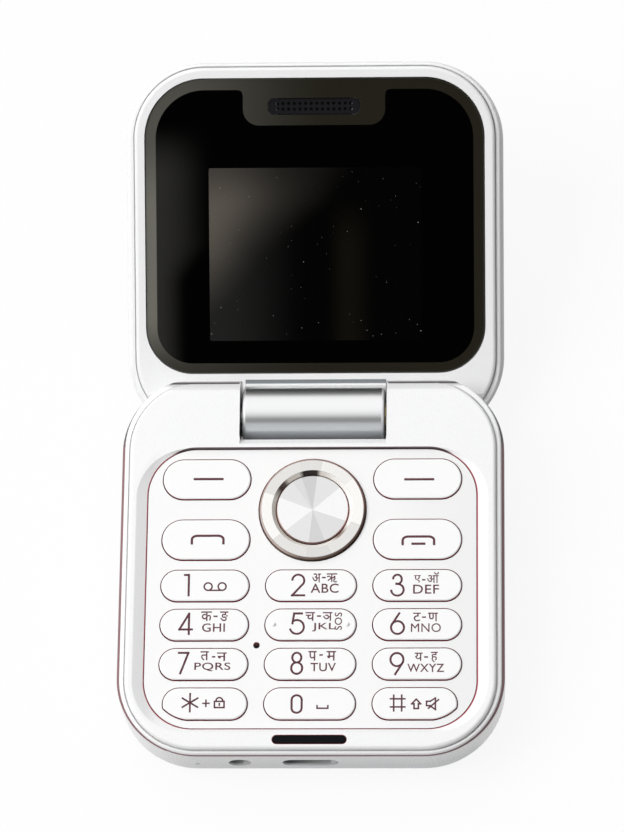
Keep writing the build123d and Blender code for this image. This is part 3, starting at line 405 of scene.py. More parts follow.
def bumper_marks(tree, x, y, z, tone):
    """Painted shade, plum, on the wall round the rubber bumper."""
    apart = rounded(tree, x, y, BUMPER_MIDDLE, BUMPER_HALF, BUMPER_HALF[1])
    recess = tree.times(tree.fall(apart, BUMPER_FACE), tree.rise(z, BUMPER_BOTTOM))
    return tree.mix(recess, tone, PLUM_SHADE)


def wall_marks(tree, x, y, z, tone):
    """Painted shade, slight, on the front wall and on the right side."""
    rightward = tree.ramp(x, *FRONT_WALL_RIGHT, FRONT_WALL_LEFT_SHARE, 1.0)
    front = tree.times(tree.rise(y, FRONT_WALL_START), tree.rise(z, FRONT_WALL_DOWN), rightward)
    tone = tree.mix(front, tone, FRONT_WALL_SHADE)
    return tree.mix(tree.rise(x, BASE_SIDE_START), tone, tinted(WHITE, BASE_SIDE_SHADE))


def socket_marks(tree, x, y, z, tone):
    """Painted shade inside the two sockets, paler to the right, with a painted highlight there."""
    inside = tree.rise(y, SOCKET_INSIDE)
    for middle, half, glint in SOCKETS:
        near = tree.fall(rounded(tree, x, z, middle, half, half[1]), SOCKET_FACE)
        start = middle[0] - half[0]
        shade = tree.mix(tree.ramp(x, start, glint), SOCKET_DARK, SOCKET_PALE)
        bright = tree.ramp(x, glint - GLINT_BEFORE, glint + GLINT_AFTER)
        shade = tree.mix(bright, shade, GLINT_COLOUR)
        tone = tree.mix(tree.times(near, inside), tone, shade)
    return tone


def rear_wall_marks(tree, x, y, z, tone):
    """Painted shadow on the wall at the rear of the plate."""
    wall = tree.times(tree.fall(from_plate(tree, x, y), REAR_WALL_FACE),
                      tree.rise(y, REAR_WALL_START), tree.rise(z, BEZEL_BOTTOM))
    return tree.mix(wall, tone, REAR_WALL_SHADOW)


def notch_and_seam_marks(tree, x, y, z, tone):
    """Painted shade on the walls round the barrel and on the hoop's seam, which stops at the notch."""
    aside = tree.math("ABSOLUTE", x)
    side = tree.times(tree.fall(aside, NOTCH_SIDE), tree.rise(y, NOTCH_SIDE_START))
    tone = tree.mix(side, tone, NOTCH_SIDE_SHADE)
    facing = tree.times(tree.fall(aside, NOTCH_FRONT), tree.rise(y, NOTCH_FRONT_START))
    depth = tree.times(tree.fall(z, NOTCH_TOP), tree.rise(z, NOTCH_BOTTOM))
    tone = tree.mix(tree.times(facing, depth), tone, NOTCH_FRONT_SHADE)
    off_seam = tree.math("ABSOLUTE", tree.math("SUBTRACT", z, SEAM_HEIGHT))
    seam = tree.times(tree.fall(off_seam, SEAM_EDGE), tree.math("SUBTRACT", 1.0, facing))
    colour = tree.mix(tree.rise(y, SEAM_REAR), SEAM_SHADE, SEAM_REAR_SHADE)
    return tree.mix(seam, tone, colour)


def base_marks(tree, x, y, z, tone):
    """All the painted shade and highlights on the base's paint, each mark over the one before."""
    for marks in (slope_marks, bumper_marks, wall_marks, socket_marks, rear_wall_marks,
                  notch_and_seam_marks):
        tone = marks(tree, x, y, z, tone)
    return tone


def lid_marks(tree, x, y, z, tone):
    """Painted shade, grey in the hollow where the bridge to the barrel meets the lid, and on the right
    side.
    """
    hollow = tree.times(tree.rise(y, HOLLOW_FRONT), tree.fall(y, HOLLOW_REAR),
                        tree.fall(tree.math("ABSOLUTE", x), HOLLOW_SIDE), tree.rise(z, HOLLOW_BOTTOM))
    tone = tree.mix(hollow, tone, HOLLOW_SHADE)
    return tree.mix(tree.rise(x, LID_SIDE_START), tone, tinted(WHITE, LID_SIDE_SHADE))


casing_base = painted("casing_base", "base", base_marks)
casing_lid = painted("casing_lid", "lid", lid_marks)
dress(casing_base, "base_front_bezel", "base_rear_housing", "battery_cover", "base_mid_frame")
dress(casing_lid, "lid_inner_bezel", "lid_rear_shell", "lid_mid_frame")


# Key plate and key caps

PLATE_WHITES = (grey(0.875), grey(0.885))
# Painted shade: the plate is painted darker towards the right
PLATE_RIGHT = (6.0, 26.0)
PLATE_RIGHT_SHADE = grey(0.825)
PLATE_ROUGH = (0.21, 0.23)
PLATE_COAT = 0.3
# Painted shade in the gaps: below an edge in height the plate's walls are red in the holes round the
# keys and plum at its rim
RIM_START = (-0.4, -0.3)
PLATE_EDGE = (4.82, 4.93)
CAP_COLOUR = grey(0.9)
CAP_ROUGH = 0.18
CAP_COAT = 0.3
# Below this height the caps' sides are painted plum as shade in the gaps
CAP_GAP = (5.08, 5.2)


def plate_material():
    """The glossy plate, with painted shade: darker to the right, red in the key holes, plum on its
    rim.
    """
    tree = Tree("keypad_plate")
    x, y, z = tree.place("base")
    tone = tree.mix(tree.noise(BROAD_NOISE, detail=BROAD_DETAIL), *PLATE_WHITES)
    tone = tree.mix(tree.rise(x, PLATE_RIGHT), tone, PLATE_RIGHT_SHADE)
    under = tree.mix(tree.rise(from_plate(tree, x, y), RIM_START), RED_SHADE, PLUM_SHADE)
    tone = tree.mix(tree.rise(z, PLATE_EDGE), under, tone)
    fine = tree.noise(FINE_NOISE)
    return tree.shade(tone, tree.spread(fine, *PLATE_ROUGH), fine, GRAIN, Coat_Weight=PLATE_COAT,
                      Coat_Roughness=COAT_ROUGHNESS)


keys = [name for name in NODES if name.startswith("key_")]
keys += ["soft_key_left", "soft_key_right", "call_key", "end_key"]
dress(plate_material(), "keypad_plate")
dress(moulded("key_caps", "base", CAP_COLOUR, CAP_ROUGH, coat=CAP_COAT, gap=CAP_GAP,
              gap_colour=PLUM_SHADE), *keys)


# Hinge barrel

BARREL_LINES = (0.15, 8, 8)
BARREL_SILVERS = ((0.93, 0.935, 0.945), (0.98, 0.98, 0.985))
# Painted reflection: bluish and a little darker below the top
BARREL_BLUE_START = (0.2, -1.0)
BARREL_BLUE = (0.88, 0.91, 0.94)
# Painted shade at the foot, where the notch shades the barrel
BARREL_FOOT_START = (-1.2, -2.6)
BARREL_FOOT = (0.56, 0.58, 0.6)
# Painted shadow along the rear, under the lid
BARREL_REAR_HEIGHT = (-0.9, 0.1)
BARREL_REAR_START = (3.2, 4.2)
BARREL_REAR = (0.03, 0.04, 0.04)
BARREL_PLATED_END = (11.25, 11.55)
BARREL_ROUGH = 0.3
BARREL_BUMP = 0.1


def barrel_material():
    """Satin silver, plain ends; painted reflection below the top, painted shade at the foot and under
    the lid.
    """
    tree = Tree("barrel_silver")
    x, y, z = tree.place("lid")
    fine = tree.noise(METAL_LINE_NOISE, detail=METAL_LINE_DETAIL, stretch=BARREL_LINES)
    tone = tree.mix(fine, *BARREL_SILVERS)
    tone = tree.mix(tree.rise(y, BARREL_BLUE_START), tone, BARREL_BLUE)
    tone = tree.mix(tree.rise(y, BARREL_FOOT_START), tone, BARREL_FOOT)
    clear = tree.math("MAXIMUM", tree.rise(z, BARREL_REAR_HEIGHT), tree.fall(y, BARREL_REAR_START))
    tone = tree.mix(clear, BARREL_REAR, tone)
    plated = tree.fall(tree.math("ABSOLUTE", x), BARREL_PLATED_END)
    return tree.shade(tone, BARREL_ROUGH, fine, BARREL_BUMP, plated)


dress(barrel_material(), "hinge_barrel")


# The other pieces, but for the ring, the centre button and the screen lens

dress(metal("bright_steel", "base", (0.62, 0.62, 0.63), 0.28, LEVEL_LINES), "dome_sheet",
      "microphone", "vibration_motor", "sim_socket_1", "sim_socket_2", "memory_card_socket",
      "base_screws", "hinge_cam_head", "lid_screws", "hinge_cartridge", "hinge_follower",
      "hinge_spring", "usb_socket")
dress(metal("turned_brass", "base", (0.72, 0.54, 0.26), 0.3, CROSS_LINES), "hinge_bushing")
dress(metal("camera_trim", "lid", (0.74, 0.71, 0.66), 0.26, CROSS_LINES), "camera_bar")
dress(moulded("board_green", "base", (0.03, 0.2, 0.1), 0.4), "main_board", "lid_board")
dress(moulded("black_plastic", "base", (0.015, 0.015, 0.016), 0.6, gloss=0.15), "audio_jack",
      "loudspeaker", "battery_contacts", "earpiece", "camera_module")
dress(moulded("battery_wrap", "base", (0.55, 0.56, 0.58), 0.35), "battery")
dress(moulded("bumper_rubber", "base", (0.003, 0.003, 0.004), 0.55, gloss=0.1), "lid_bumper")
dress(moulded("silicone", "base", (0.5, 0.51, 0.52), 0.5), "keypad_mat", "nav_ring_pad")
dress(moulded("flex_film", "lid", (0.5, 0.24, 0.06), 0.35), "flat_cable")
dress(moulded("mesh_dark", "lid", (0.004, 0.004, 0.006), 0.6, gloss=0.2), "earpiece_mesh")
dress(moulded("camera_glass", "lid", (0.012, 0.013, 0.02), 0.05), "camera_lens")
dress(moulded("flash_diffuser", "lid", (0.8, 0.76, 0.6), 0.3), "camera_flash")
dress(moulded("display_dark", "lid", (0.012, 0.012, 0.014), 0.15), "display_module")


# Four-way ring and centre button. A fan is the colours round the ring's centre, each from its start
# angle in degrees: painted sheen on faces, painted reflections and shade on bevel, edge and rim.

RING_CENTRE = (0.1, -17.85)
SPUN_NOISE = 2.0
SPUN_SPREAD = 0.05
SPUN_DARK = 0.6
SPUN_BUMP = 0.05

BUTTON_FAN = [(0, 1.0), (40, 0.84), (82, 0.68), (107, 0.78), (125, 0.84), (158, 1.0),
              (218, 0.85), (263, 0.70), (291, 0.80), (340, 1.0)]
BUTTON_TINT = grey(1.0)
BUTTON_ROUGH = 0.3
# The button's rim, painted dark as shade
RIM_REACH = (5.78, 5.85)
RIM_LEAN = -0.022
RIM_FAN = [(0, (0.45, 0.2, 0.17)), (60, (0.2, 0.08, 0.06)), (130, (0.2, 0.09, 0.07)),
           (200, (0.4, 0.22, 0.18)), (240, (0.12, 0.06, 0.05)), (300, (0.1, 0.045, 0.04)),
           (345, (0.4, 0.18, 0.15))]

RING_FAN = [(0, 1.0), (37, 0.92), (78, 0.8), (105, 0.82), (159, 1.0), (219, 0.82),
            (262, 0.76), (292, 0.82), (340, 1.0)]
RING_TINT = (1.0, 0.985, 0.96)
RING_ROUGH = 0.22
# The ring's bevel and outer edge, with painted dark reflections and shade
BEVEL_REACH = (6.66, 6.72)
BEVEL_FAN = [(0, (0.95, 0.93, 0.92)), (55, (0.93, 0.9, 0.86)), (78, (0.75, 0.7, 0.64)),
             (84, (0.03, 0.02, 0.018)), (104, (0.02, 0.014, 0.012)), (111, (0.8, 0.76, 0.7)),
             (128, (0.85, 0.8, 0.72)), (136, (0.12, 0.09, 0.08)), (146, (0.06, 0.035, 0.03)),
             (154, (0.5, 0.47, 0.43)), (162, (0.78, 0.74, 0.69)), (196, (0.66, 0.62, 0.57)),
             (228, (0.74, 0.7, 0.64)), (260, (0.92, 0.88, 0.82)), (300, (0.9, 0.86, 0.8)),
             (312, (0.3, 0.24, 0.2)), (322, (0.34, 0.27, 0.24)), (336, (0.88, 0.85, 0.82))]
EDGE_REACH = (8.42, 8.5)
EDGE_FAN = [(0, (0.2, 0.09, 0.07)), (40, (0.36, 0.2, 0.17)), (150, (0.4, 0.27, 0.23)),
            (200, (0.55, 0.44, 0.41)), (235, (0.5, 0.4, 0.35)), (258, (0.2, 0.15, 0.12)),
            (300, (0.13, 0.085, 0.065)), (345, (0.12, 0.06, 0.045))]


def reach_of(tree, x, y):
    """The distance from the ring's centre."""
    across = tree.math("SUBTRACT", x, RING_CENTRE[0])
    along = tree.math("SUBTRACT", y, RING_CENTRE[1])
    squares = [tree.math("POWER", value, 2.0) for value in (across, along)]
    return tree.math("SQRT", tree.math("ADD", *squares))


def painted_sheen(tree, x, y, fan, tint, fine):
    """A turned face whose painted sheen fans out from the ring's centre."""
    tones = sectors(tree, x, y, RING_CENTRE, [(start, tinted(tint, level)) for start, level in fan])
    return tree.mix(tree.spread(fine, 0.0, SPUN_SPREAD), tones, tinted(tint, SPUN_DARK))


def button_material():
    """Spun metal with painted sheen, and a rim painted dark as shade, wider towards the front."""
    tree = Tree("select_spun")
    x, y = tree.place("base")[:2]
    fine = tree.noise(SPUN_NOISE)
    lean = tree.math("MULTIPLY", tree.math("SUBTRACT", y, RING_CENTRE[1]), RIM_LEAN)
    rim = tree.rise(tree.math("ADD", reach_of(tree, x, y), lean), RIM_REACH)
    tone = tree.mix(rim, painted_sheen(tree, x, y, BUTTON_FAN, BUTTON_TINT, fine),
                    sectors(tree, x, y, RING_CENTRE, RIM_FAN, "LINEAR"))
    return tree.shade(tone, BUTTON_ROUGH, fine, SPUN_BUMP, tree.math("SUBTRACT", 1.0, rim))


def ring_material():
    """The plated ring: a turned face with painted sheen, and a polished bevel and edge with painted
    reflections.
    """
    tree = Tree("ring_champagne")
    x, y = tree.place("base")[:2]
    fine = tree.noise(SPUN_NOISE)
    reach = reach_of(tree, x, y)
    bevel = tree.fall(reach, BEVEL_REACH)
    edge = tree.rise(reach, EDGE_REACH)
    tone = painted_sheen(tree, x, y, RING_FAN, RING_TINT, fine)
    tone = tree.mix(bevel, tone, sectors(tree, x, y, RING_CENTRE, BEVEL_FAN, "LINEAR"))
    tone = tree.mix(edge, tone, sectors(tree, x, y, RING_CENTRE, EDGE_FAN, "LINEAR"))
    plated = tree.math("SUBTRACT", 1.0, tree.math("MAXIMUM", bevel, edge))
    return tree.shade(tone, RING_ROUGH, fine, SPUN_BUMP, plated)


dress(button_material(), "select_button")
dress(ring_material(), "nav_ring")


# Screen lens: glass with its print, with painted reflections and dust over it, all by place on the
# lens

# The black print is a rounded field, wider at its upper corners, less a notch for the earpiece
PRINT_MIDDLE = (0.0, 31.93)
PRINT_HALF = (26.7, 22.97)
PRINT_LOWER_CORNER = 6.0
PRINT_CORNER_GROWTH = 2.2
PRINT_CORNER_START = (20.0, 40.0)
PRINT_NOTCH_MIDDLE = (0.0, 58.93)
PRINT_NOTCH_HALF = (11.95, 10.0)
PRINT_NOTCH_CORNER = 2.7
PRINT_NOTCH_BLEND = 1.6
PRINT_EDGE = (-0.05, 0.05)
PRINT_INK = grey(0.0006)

# The display's window in the print
WINDOW_MIDDLE = (0.0, 27.28)
WINDOW_HALF = (17.8, 14.53)
WINDOW_CORNER = 0.3
WINDOW_EDGE = (-0.04, 0.04)

# The border round the print, with painted light from the left, less at both ends
BORDER_DARK = (0.018, 0.016, 0.011)
BORDER_LIT = (0.155, 0.15, 0.13)
BORDER_ACROSS = (-30.0, 3.0)
BORDER_TOP = (48.0, 34.0)
BORDER_TOP_SHARE = 0.5
BORDER_BOTTOM = (7.0, 18.0)
BORDER_BOTTOM_SHARE = 0.12

# A painted reflection: a pale strip down the print's left side, wider above
STRIP_START = -27.0
STRIP_LOWER_END = -21.5
STRIP_UPPER_END = -17.0
STRIP_WIDENING = (22.0, 30.0)
STRIP_TOP = (50.0, 40.0)
STRIP_COLOUR = (0.024, 0.0235, 0.022)

# In the window, painted reflections: a slanting warm veil at the upper left, a glow at the left, and a
# faint streak
VEIL_SLANT = (33.0, 51.0)
VEIL_DRIFT = 6.0
VEIL_ACROSS = (-17.5, -5.0)
VEIL_RIGHT_SHARE = 0.35
VEIL_TOP = (35.0, 42.5)
VEIL_TOP_SHARE = 0.42
VEIL_COLOUR = (0.1, 0.088, 0.074)
GLOW_ACROSS = (-17.5, -1.0)
GLOW_COLOUR = (0.015, 0.015, 0.0145)
CLEAR_COLOUR = grey(0.0012)
STREAK_LEFT = (1.5, 5.5)
STREAK_RIGHT = (5.5, 10.5)
STREAK_TOP = (38.0, 28.0)
STREAK_COLOUR = (0.006, 0.0052, 0.0034)
CLOUD_NOISE = 0.05
DUST_NOISE = 2.2
DUST_DETAIL = 1.0
DUST_LEVEL = (0.79, 0.82)
DUST_COLOUR = grey(0.25)
GLASS_ROUGH = 0.04
GLASS_IOR = 1.45


def from_print(tree, x, y):
    """The distance outside the black print."""
    growth = tree.math("MULTIPLY", tree.rise(y, PRINT_CORNER_START), PRINT_CORNER_GROWTH)
    corner = tree.math("ADD", growth, PRINT_LOWER_CORNER)
    field = rounded(tree, x, y, PRINT_MIDDLE, PRINT_HALF, corner)
    notch = rounded(tree, x, y, PRINT_NOTCH_MIDDLE, PRINT_NOTCH_HALF, PRINT_NOTCH_CORNER)
    return tree.math("SMOOTH_MAX", field, tree.math("MULTIPLY", notch, -1.0), PRINT_NOTCH_BLEND)


def window_tone(tree, x, y):
    """The dark display behind the glass, with painted reflections and dust over it."""
    drift = tree.math("MULTIPLY", tree.math("SUBTRACT", tree.noise(CLOUD_NOISE), 0.5), VEIL_DRIFT)
    slant = tree.math("ADD", tree.math("SUBTRACT", y, x), drift)
    veil = tree.times(tree.rise(slant, VEIL_SLANT), tree.ramp(x, *VEIL_ACROSS, 1.0, VEIL_RIGHT_SHARE),
                      tree.ramp(y, *VEIL_TOP, 1.0, VEIL_TOP_SHARE))
    streak = tree.times(tree.rise(x, STREAK_LEFT), tree.fall(x, STREAK_RIGHT),
                        tree.rise(y, STREAK_TOP))
    tone = tree.mix(tree.rise(x, GLOW_ACROSS), GLOW_COLOUR, CLEAR_COLOUR)
    tone = tree.mix(streak, tone, STREAK_COLOUR)
    tone = tree.mix(veil, tone, VEIL_COLOUR)
    dust = tree.rise(tree.noise(DUST_NOISE, detail=DUST_DETAIL), DUST_LEVEL)
    return tree.mix(dust, tone, DUST_COLOUR)


def border_tone(tree, x, y):
    """The border round the print, with painted light from the left."""
    lit = tree.times(tree.fall(x, BORDER_ACROSS), tree.ramp(y, *BORDER_TOP, BORDER_TOP_SHARE, 1.0),
                     tree.ramp(y, *BORDER_BOTTOM, BORDER_BOTTOM_SHARE, 1.0))
    return tree.mix(lit, BORDER_DARK, BORDER_LIT)


def ink_tone(tree, x, y):
    """The black print with a painted pale strip of reflection on it."""
    strip_end = tree.ramp(y, *STRIP_WIDENING, STRIP_LOWER_END, STRIP_UPPER_END)
    strip = tree.times(tree.fall(x, (STRIP_START, strip_end)), tree.rise(y, STRIP_TOP))
    return tree.mix(strip, PRINT_INK, STRIP_COLOUR)


def lens_material():
    """Glass over the border, the black print and the display's window in it."""
    tree = Tree("lens_glass")
    x, y = tree.place("lid")[:2]
    window = rounded(tree, x, y, WINDOW_MIDDLE, WINDOW_HALF, WINDOW_CORNER)
    tone = tree.mix(tree.rise(from_print(tree, x, y), PRINT_EDGE), ink_tone(tree, x, y),
                    border_tone(tree, x, y))
    tone = tree.mix(tree.rise(window, WINDOW_EDGE), window_tone(tree, x, y), tone)
    return tree.shade(tone, GLASS_ROUGH, IOR=GLASS_IOR)


dress(lens_material(), "screen_lens")


# Legends on the keys

LEGEND_HEIGHT = 5.31
LEGEND_THICKNESS = 0.02
LEGEND_COLOUR = (0.095, 0.022, 0.034)
LEGEND_ROUGH = 0.4


def arc(x, y, across, along, start, end, steps=20):
    """Points on an ellipse's arc, angles in degrees."""
    points = []
    for index in range(steps + 1):
        angle = radians(start + (end - start) * index / steps)
        points.append((x + across * cos(angle), y + along * sin(angle)))
    return points


# Each digit and sign is drawn in strokes on a grid 1 wide and 1 high
SIGNS = {
    "1": [[(0.0, 1.0), (1.0, 1.0)], [(1.0, 1.0), (1.0, 0.0)]],
    "2": [arc(0.5, 0.72, 0.5, 0.28, 172, -38) + [(0.0, 0.0)], [(0.0, 0.0), (1.0, 0.0)]],
    "3": [arc(0.48, 0.78, 0.36, 0.22, 168, -90) + [(0.4, 0.56)],
          [(0.4, 0.575)] + arc(0.48, 0.28, 0.52, 0.28, 90, -170)],
    "4": [[(0.76, 1.0), (0.0, 0.22)], [(0.0, 0.22), (1.0, 0.22)], [(0.76, 1.0), (0.76, 0.0)]],
    "5": [[(0.84, 1.0), (0.24, 1.0)], [(0.24, 1.0), (0.12, 0.52)],
          [(0.12, 0.52)] + arc(0.46, 0.34, 0.54, 0.34, 128, -158)],
    "6": [[(0.63, 1.0), (0.07, 0.47)], arc(0.5, 0.31, 0.5, 0.31, 150, 510, 32)],
    "7": [[(0.0, 1.0), (1.0, 1.0)], [(1.0, 1.0), (0.18, 0.0)]],
    "8": [arc(0.5, 0.77, 0.41, 0.23, -90, 270, 32), arc(0.5, 0.27, 0.5, 0.27, -90, 270, 32)],
    "9": [[(0.37, 0.0), (0.93, 0.53)], arc(0.5, 0.69, 0.5, 0.31, -30, 330, 32)],
    "0": [arc(0.5, 0.73, 0.5, 0.27, 0, 180) + arc(0.5, 0.27, 0.5, 0.27, 180, 360)
          + [(1.0, 0.73)]],
    "*": [[(0.5, 0.0), (0.5, 1.0)], [(0.0, 0.25), (1.0, 0.75)], [(0.0, 0.75), (1.0, 0.25)]],
    "#": [[(0.22, 0.0), (0.22, 1.0)], [(0.78, 0.0), (0.78, 1.0)],
          [(0.0, 0.25), (1.0, 0.25)], [(0.0, 0.77), (1.0, 0.77)]],
    "plus": [[(0.5, 0.0), (0.5, 1.0)], [(0.0, 0.5), (1.0, 0.5)]],
    "bar": [[(0.0, 0.5), (1.0, 0.5)]],
    "tape": [arc(0.18, 0.5, 0.18, 0.5, 0, 360, 24), arc(0.82, 0.5, 0.18, 0.5, 0, 360, 24),
             [(0.18, 0.0), (0.82, 0.0)]],
    "hook": [[(0.0, 0.0)] + arc(0.18, 0.5, 0.18, 0.5, 180, 90) + arc(0.82, 0.5, 0.18, 0.5, 90, 0)
             + [(1.0, 0.0)]],
    "space": [[(0.0, 1.0), (0.0, 0.0)], [(0.0, 0.0), (1.0, 0.0)], [(1.0, 0.0), (1.0, 1.0)]],
    "lock": [[(0.0, 0.0), (1.0, 0.0)], [(1.0, 0.0), (1.0, 0.62)], [(1.0, 0.62), (0.0, 0.62)],
             [(0.0, 0.62), (0.0, 0.0)], arc(0.5, 0.62, 0.36, 0.38, 0, 180), [(0.5, 0.24), (0.5, 0.4)]],
    "arrow": [[(0.5, 1.0), (1.0, 0.5)], [(1.0, 0.5), (0.74, 0.5)], [(0.74, 0.5), (0.74, 0.0)],
              [(0.74, 0.0), (0.26, 0.0)], [(0.26, 0.0), (0.26, 0.5)], [(0.26, 0.5), (0.0, 0.5)],
              [(0.0, 0.5), (0.5, 1.0)]],
    "mute": [[(0.0, 0.72), (0.3, 0.72)], [(0.3, 0.72), (0.74, 1.0)], [(0.74, 1.0), (0.74, 0.0)],
             [(0.74, 0.0), (0.3, 0.34)], [(0.3, 0.34), (0.0, 0.34)], [(0.0, 0.34), (0.0, 0.72)],
             [(0.16, 0.12), (1.0, 0.86)]],
}

# The places in these tables are in millimetres from a point on the key, which lies this far
# above its middle on the twelve number keys, and as listed on the others
DIGIT_KEY_DATUM = 0.1
KEY_DATUMS = {"soft_key_left": -0.075, "soft_key_right": -0.075, "call_key": -0.225,
              "end_key": -0.225}

# Key, sign, left, right, bottom and top
STROKED = [
    ("key_1", "1", -3.48, -2.48, -2.04, 1.81), ("key_1", "tape", -0.25, 3.6, -1.15, 0.4),
    ("key_2", "2", -3.25, -0.94, -2.09, 1.81), ("key_3", "3", -4.37, -2.05, -2.18, 1.76),
    ("key_4", "4", -4.22, -1.83, -1.94, 1.85), ("key_5", "5", -3.38, -0.91, -1.98, 1.86),
    ("key_6", "6", -4.43, -1.97, -2.01, 1.85), ("key_7", "7", -4.19, -2.3, -1.93, 1.89),
    ("key_8", "8", -3.24, -1.1, -2.05, 1.88), ("key_9", "9", -4.49, -2.04, -2.14, 1.8),
    ("key_star", "*", -3.76, -1.03, -1.66, 1.62), ("key_star", "plus", -0.4, 0.81, -0.77, 0.51),
    ("key_star", "lock", 1.46, 3.29, -0.98, 0.96), ("key_0", "0", -3.1, -1.11, -1.92, 1.38),
    ("key_0", "space", 1.09, 3.1, -1.12, -0.43), ("key_hash", "#", -4.04, -1.46, -1.57, 1.32),
    ("key_hash", "arrow", -0.61, 1.1, -1.19, 0.66), ("key_hash", "mute", 1.79, 3.99, -1.38, 0.84),
    ("soft_key_left", "bar", -2.23, 2.73, -0.22, 0.24),
    ("soft_key_right", "bar", -2.22, 2.73, -0.39, 0.07),
    ("call_key", "hook", -2.5, 3.1, -0.71, 1.0), ("end_key", "hook", -2.63, 2.93, -0.95, 0.76),
    ("end_key", "bar", -0.99, 1.31, -0.86, -0.51),
]
LETTERS = [
    ("key_2", "ABC", -0.05, 4.52, -1.51, 0.09), ("key_3", "DEF", -0.68, 3.55, -1.68, -0.14),
    ("key_4", "GHI", -0.34, 3.42, -1.42, 0.03), ("key_5", "JKL", 0.28, 4.05, -1.4, 0.07),
    ("key_6", "MNO", -1.01, 3.87, -1.53, -0.04), ("key_7", "PQRS", -1.46, 4.42, -1.43, 0.06),
    ("key_8", "TUV", 0.08, 4.21, -1.46, -0.03), ("key_9", "WXYZ", -1.57, 4.41, -1.61, -0.21),
    ("key_2", "अ", 0.18, 1.62, 0.29, 1.85), ("key_2", "ऋ", 2.55, 4.29, 0.28, 1.84),
    ("key_3", "ए", -0.52, 0.56, 0.24, 1.5), ("key_3", "ऑ", 1.57, 3.55, 0.15, 2.05),
    ("key_4", "क", -0.5, 1.23, 0.41, 2.07), ("key_4", "ङ", 2.59, 3.92, 0.41, 2.06),
    ("key_5", "च", -0.86, 0.71, 0.41, 1.91), ("key_5", "ञ", 1.99, 3.54, 0.4, 1.9),
    ("key_6", "ट", -0.66, 0.58, 0.31, 1.78), ("key_6", "ण", 1.77, 3.4, 0.31, 1.77),
    ("key_7", "त", -0.49, 0.87, 0.42, 1.98), ("key_7", "न", 2.23, 3.8, 0.32, 1.77),
    ("key_8", "प", -0.27, 1.06, 0.35, 1.98), ("key_8", "म", 2.68, 4.23, 0.35, 1.98),
    ("key_9", "य", -0.39, 0.92, 0.3, 1.68), ("key_9", "ह", 2.26, 3.35, 0.01, 1.81),
]
# Key, left, right and height of the dashes between the two letters
DASHES = [
    ("key_2", 1.79, 2.4, 1.13), ("key_3", 0.77, 1.33, 0.7), ("key_4", 1.5, 2.18, 1.23),
    ("key_5", 1.05, 1.7, 1.23), ("key_6", 0.79, 1.44, 1.01), ("key_7", 1.37, 1.93, 1.03),
    ("key_8", 1.51, 2.08, 1.32), ("key_9", 1.17, 1.79, 0.94),
]
SIDE_TEXT = "SOS"
SIDE_TEXT_PLACE = (3.94, 5.14, -1.14, 1.84)

DIGIT_STROKE = 0.35
BOLD_STROKE = 0.4
SIGN_STROKE = 0.26
STROKES = {sign: DIGIT_STROKE for sign in "1234567890"}
STROKES.update({"bar": BOLD_STROKE, "hook": BOLD_STROKE, "*": 0.29, "#": 0.27})

# Letters are swollen a little, but for texts with an M, whose outline that breaks
LETTER_SWELL = 0.008
LETTER_SPACING = 1.06
LETTER_SMOOTHNESS = 4


def key_middle(name):
    """The middle of a key in the base frame, from its box."""
    low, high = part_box(name)
    middle = placing("base").inverted() @ ((low + high) / 2)
    return middle.x, middle.y


def meshed(curve):
    """A curve's or a text's mesh."""
    source = bpy.data.objects.new(curve.name, curve)
    bpy.context.scene.collection.objects.link(source)
    bpy.context.view_layer.update()
    graph = bpy.context.evaluated_depsgraph_get()
    mesh = bpy.data.meshes.new_from_object(source.evaluated_get(graph))
    bpy.data.objects.remove(source)
    return mesh


def stroked(paths, width):
    """A mesh of flattened tubes along the paths, longer at both ends by half their width."""
    curve = bpy.data.curves.new("strokes", "CURVE")
    curve.dimensions = "3D"
    curve.bevel_depth = width / 2
    curve.bevel_resolution = 1
    curve.use_fill_caps = True
    for path in paths:
        path = [Vector(point) for point in path]
        path[0] += (path[0] - path[1]).normalized() * width / 2
        path[-1] += (path[-1] - path[-2]).normalized() * width / 2
        spline = curve.splines.new("POLY")
        spline.points.add(len(path) - 1)
        for point, (x, y) in zip(spline.points, path):
            point.co = (x, y, 0, 1)
    mesh = meshed(curve)
    mesh.transform(Matrix.Diagonal((1, 1, LEGEND_THICKNESS / width, 1)))
    return mesh


def sign_mesh(sign, left, right, low, high):
    """A sign whose strokes fill a rectangle, their width included."""
    width = STROKES.get(sign, SIGN_STROKE)
    across = right - left - width
    along = high - low - width
    paths = [[(left + width / 2 + x * across, low + width / 2 + y * along) for x, y in path]
             for path in SIGNS[sign]]
    return stroked(paths, width)


def text_mesh(text, left, right, low, high, spin=0.0):
    """A thin text, turned by spin and stretched to a rectangle."""
    curve = bpy.data.curves.new("letters", "FONT")
    curve.body = text
    curve.extrude = LEGEND_THICKNESS / 2
    curve.offset = 0.0 if "M" in text else LETTER_SWELL
    curve.resolution_u = LETTER_SMOOTHNESS
    curve.space_character = LETTER_SPACING
    mesh = meshed(curve)
    mesh.transform(Matrix.Rotation(spin, 4, "Z"))
    xs = [vertex.co.x for vertex in mesh.vertices]
    ys = [vertex.co.y for vertex in mesh.vertices]
    across = (right - left) / (max(xs) - min(xs))
    along = (high - low) / (max(ys) - min(ys))
    move = Matrix.Translation((left - min(xs) * across, low - min(ys) * along, 0))
    mesh.transform(move @ Matrix.Diagonal((across, along, 1, 1)))
    return mesh


def joined(meshes, name):
    """One mesh object from several meshes."""
    parts = []
    for mesh in meshes:
        part = bpy.data.objects.new(name, mesh)
        bpy.context.scene.collection.objects.link(part)
        parts.append(part)
    with bpy.context.temp_override(active_object=parts[0], selected_editable_objects=parts):
        bpy.ops.object.join()
    return parts[0]


